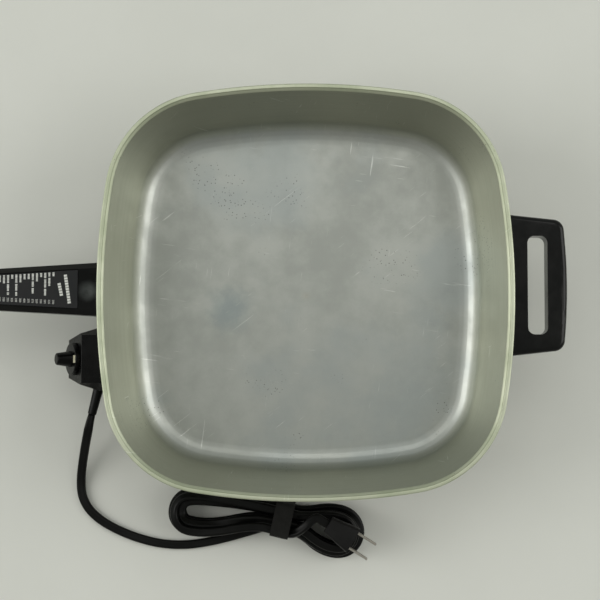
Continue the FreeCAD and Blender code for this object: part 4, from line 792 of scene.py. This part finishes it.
# Pieces with eased edges: body, edge width in millimetres, segments and material
EASED = {
    "cord_tie": ("heat_control", 0.5, 2, WOVEN),
    "plug_body": ("heat_control", 0.7, 3, PLUG_BLACK),
    "plug_prongs": ("heat_control", 0.35, 2, PRONG),
    "leg_front_left": ("skillet", 0.9, 3, BAKELITE),
    "leg_front_right": ("skillet", 0.9, 3, BAKELITE),
    "leg_back_right": ("skillet", 0.9, 3, BAKELITE),
    "leg_back_left": ("skillet", 0.9, 3, BAKELITE),
    "main_handle": ("skillet", 0.7, 3, GRIP),
    "helper_handle": ("skillet", 0.6, 2, BAKELITE),
    "handle_label_plate": ("skillet", 0.25, 2, PLATE_BLACK),
    "handle_heat_shield": ("skillet", 0.3, 2, GUARD_STEEL),
    "terminal_guard": ("skillet", 0.35, 2, GUARD_STEEL),
    "control_upper_housing": ("heat_control", 0.8, 3, HOUSING),
    "control_lower_housing": ("heat_control", 0.8, 3, HOUSING),
    "dial_knob": ("dial", 0.45, 3, HOUSING),
    "dial_pointer": ("dial", 0.1, 1, CREAM),
    "cord_strain_relief": ("heat_control", 0.4, 2, CORD_BLACK),
}
for node, how in EASED.items():
    eased(node, *how)

# Nodes that show as they were built
SEEN_AS_BUILT = {
    "heating_element": SHEATH,
    "terminal_pins": PIN_STEEL,
    "terminal_insulators": CERAMIC,
    "guard_screws": SCREW_STEEL,
    "leg_screws": SCREW_STEEL,
    "handle_screw": SCREW_STEEL,
    "helper_handle_screws": SCREW_STEEL,
    "control_housing_screws": SCREW_STEEL,
    "probe_tube": PIN_STEEL,
    "probe_rod": SCREW_STEEL,
    "thermostat_frame": GUARD_STEEL,
    "female_terminals": BRASS,
    "contact_blades": BRASS,
    "contact_points": PIN_STEEL,
    "dial_shaft": SCREW_STEEL,
    "dial_clip": SCREW_STEEL,
    "lead_wires": CORD_BLACK,
}
for node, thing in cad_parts.items():
    thing.data.materials.clear()
    thing.data.materials.append(SEEN_AS_BUILT.get(node, HOUSING))


# Chart on the handle's plate: rows of short bars with plain numbers, no wording
ROW_PITCH, CHART_ROWS, FIRST_ROW = 2.97, 23, -179.2
LETTER, LETTER_PITCH, WORD_GAP = 0.72, 0.98, 0.8
HEADINGS, HEADING_PITCH = ((-170.7, 12.6, 8.5, 11), (-175.2, 6.6, 12.0, 5)), 1.92
PLATE_START, PLATE_LENGTH, PLATE_WIDTH, PLATE_TIP, HANDLE_Y = -161.7, 88.0, 27.6, 17.9, 2.3
HANDLE_ROOT, HANDLE_TOP, HANDLE_SLOPE, PLATE_SINK = -148.0, 92.0, 5.0 / 142.0, 0.8


def plate_half(x):
    return (PLATE_WIDTH + (PLATE_TIP - PLATE_WIDTH) * (PLATE_START - x) / PLATE_LENGTH) / 2


def plate_top(x):
    return HANDLE_TOP - HANDLE_SLOPE * (HANDLE_ROOT - x) - PLATE_SINK


def bars_mesh(name, bars):
    """Flat bars as thin boxes; each row is x, y, length along y, width along x and lean in degrees."""
    bars = np.asarray(bars, float)
    unit = np.array([(x, y, z) for x in (-0.5, 0.5) for y in (-1.0, 0.0) for z in (-0.05, 0.07)])
    lean = np.radians(bars[:, 4])[:, None]
    across, down = unit[None, :, 0] * bars[:, 3, None], unit[None, :, 1] * bars[:, 2, None]
    x = bars[:, 0, None] + across * np.cos(lean) - down * np.sin(lean)
    y = bars[:, 1, None] + across * np.sin(lean) + down * np.cos(lean)
    points = placed(np.stack([x, y, plate_top(x) + unit[None, :, 2]], -1).reshape(-1, 3))
    faces = (np.arange(len(bars))[:, None, None] * 8 + np.array(BOX_FACES)).reshape(-1, 4).tolist()
    data = mesh_from(name, points, faces, closed=False)
    data.set_sharp_from_angle(angle=math.radians(20))
    return data


def chart_bars():
    """Letter-sized bars in broken runs down each row, with two larger leaning runs as the heading."""
    chance = np.random.default_rng(11)
    bars = []
    for k in range(CHART_ROWS):
        x = FIRST_ROW - ROW_PITCH * k
        y, last = HANDLE_Y + plate_half(x) - 0.9, HANDLE_Y - plate_half(x) + 7.4
        for _ in range(chance.integers(1, 4)):
            for _ in range(chance.integers(3, 7)):
                if y > last:
                    bars.append((x, y, LETTER, chance.uniform(1.25, 1.6), 0.0))
                y -= LETTER_PITCH
            y -= WORD_GAP
    for x, y, lean, letters in HEADINGS:
        sin, cos = math.sin(math.radians(lean)), math.cos(math.radians(lean))
        for far in HEADING_PITCH * np.arange(letters):
            bars.append((x + far * sin, y - far * cos, 1.5, 2.3, lean))
    return bars


def numeral(text, size):
    """The points and faces of a plain number, reading down the page."""
    curve = bpy.data.curves.new("numeral", "FONT")
    curve.body, curve.size, curve.extrude, curve.resolution_u = text, size, 0.05, 2
    holder = bpy.data.objects.new("numeral", curve)
    bpy.context.scene.collection.objects.link(holder)
    line = bpy.data.meshes.new_from_object(holder)
    points = points_of(line)
    faces = [tuple(f.vertices) for f in line.polygons]
    bpy.data.objects.remove(holder)
    bpy.data.meshes.remove(line)
    return points, faces


def make_chart():
    """The bars, and one number to each row, turned to read down the page."""
    bars = piece_from("chart_bars", bars_mesh("chart_bars", chart_bars()), "skillet")
    bars.data.materials.append(PRINT)
    points, faces = [], []
    for k in range(CHART_ROWS):
        x = FIRST_ROW - ROW_PITCH * k
        start = HANDLE_Y - plate_half(x) + 5.2
        figure, sides = numeral(str(200 + 25 * (k * 5 % 9)), 2.0)
        first = sum(len(p) for p in points)
        height = plate_top(x + figure[:, 1]) + figure[:, 2] + 0.02
        points.append(np.stack([x - 0.7 + figure[:, 1], start - figure[:, 0], height], -1))
        faces += [tuple(first + i for i in side) for side in sides]
    data = mesh_from("chart_numbers", placed(np.vstack(points)), faces, closed=False)
    data.set_sharp_from_angle(angle=math.radians(20))
    data.materials.append(PRINT)
    piece_from("chart_numbers", data, "skillet")


make_chart()


def stage_look():
    """Pale matt paper, a little uneven."""
    material, tree, shader, here = new_look(
        "table_paper", Metallic=0.0, Roughness=0.85, Specular_IOR_Level=0.25
    )
    patches = use(tree, BLOTCHES, Vector=here, Scale=2.4)[0]
    colour = blend(tree, patches, (0.63, 0.64, 0.60), (0.66, 0.67, 0.63))
    tree.links.new(colour, shader.inputs["Base Color"])
    return material


def make_stage():
    half = 2.0
    data = bpy.data.meshes.new("table")
    corners = [(-half, -half, 0), (half, -half, 0), (half, half, 0), (-half, half, 0)]
    data.from_pydata(corners, [], [(0, 1, 2, 3)])
    table = bpy.data.objects.new("table", data)
    bpy.context.scene.collection.objects.link(table)
    data.materials.append(stage_look())


make_stage()


def area_light(name, place, size, power):
    """A rectangle of slightly warm light that looks at the skillet."""
    data = bpy.data.lights.new(name, "AREA")
    data.shape = "RECTANGLE"
    data.size, data.size_y = size
    data.energy, data.color = power, (1.0, 0.99, 0.96)
    lamp = bpy.data.objects.new(name, data)
    bpy.context.scene.collection.objects.link(lamp)
    back = (Vector(place) - Vector((0, 0, 0.05))).normalized()
    lamp.matrix_world = Matrix.Translation(place) @ back.to_track_quat("Z", "Y").to_matrix().to_4x4()


def make_world():
    """A soft even surround, a little brighter towards the far side."""
    world = bpy.data.worlds.new("world")
    bpy.context.scene.world = world
    world.use_nodes = True
    tree = world.node_tree
    back = tree.nodes["Background"]
    way = add(tree, "TexCoord").outputs["Generated"]
    parts = add(tree, "SeparateXYZ", Vector=way)
    far = spread(tree, parts.outputs["Y"], -0.9, 0.9)
    tree.links.new(blend(tree, far, (0.62, 0.62, 0.57), (0.88, 0.92, 0.87)), back.inputs[0])
    back.inputs[1].default_value = 0.52


make_world()
area_light("window_right", (1.6, 0.15, 1.2), (1.1, 1.6), 15)
area_light("window_left", (-1.6, 0.05, 1.25), (1.0, 1.5), 17)
area_light("overhead", (0.1, 0.75, 1.9), (1.2, 0.7), 4)
bpy.context.scene.view_settings.view_transform = "Standard"
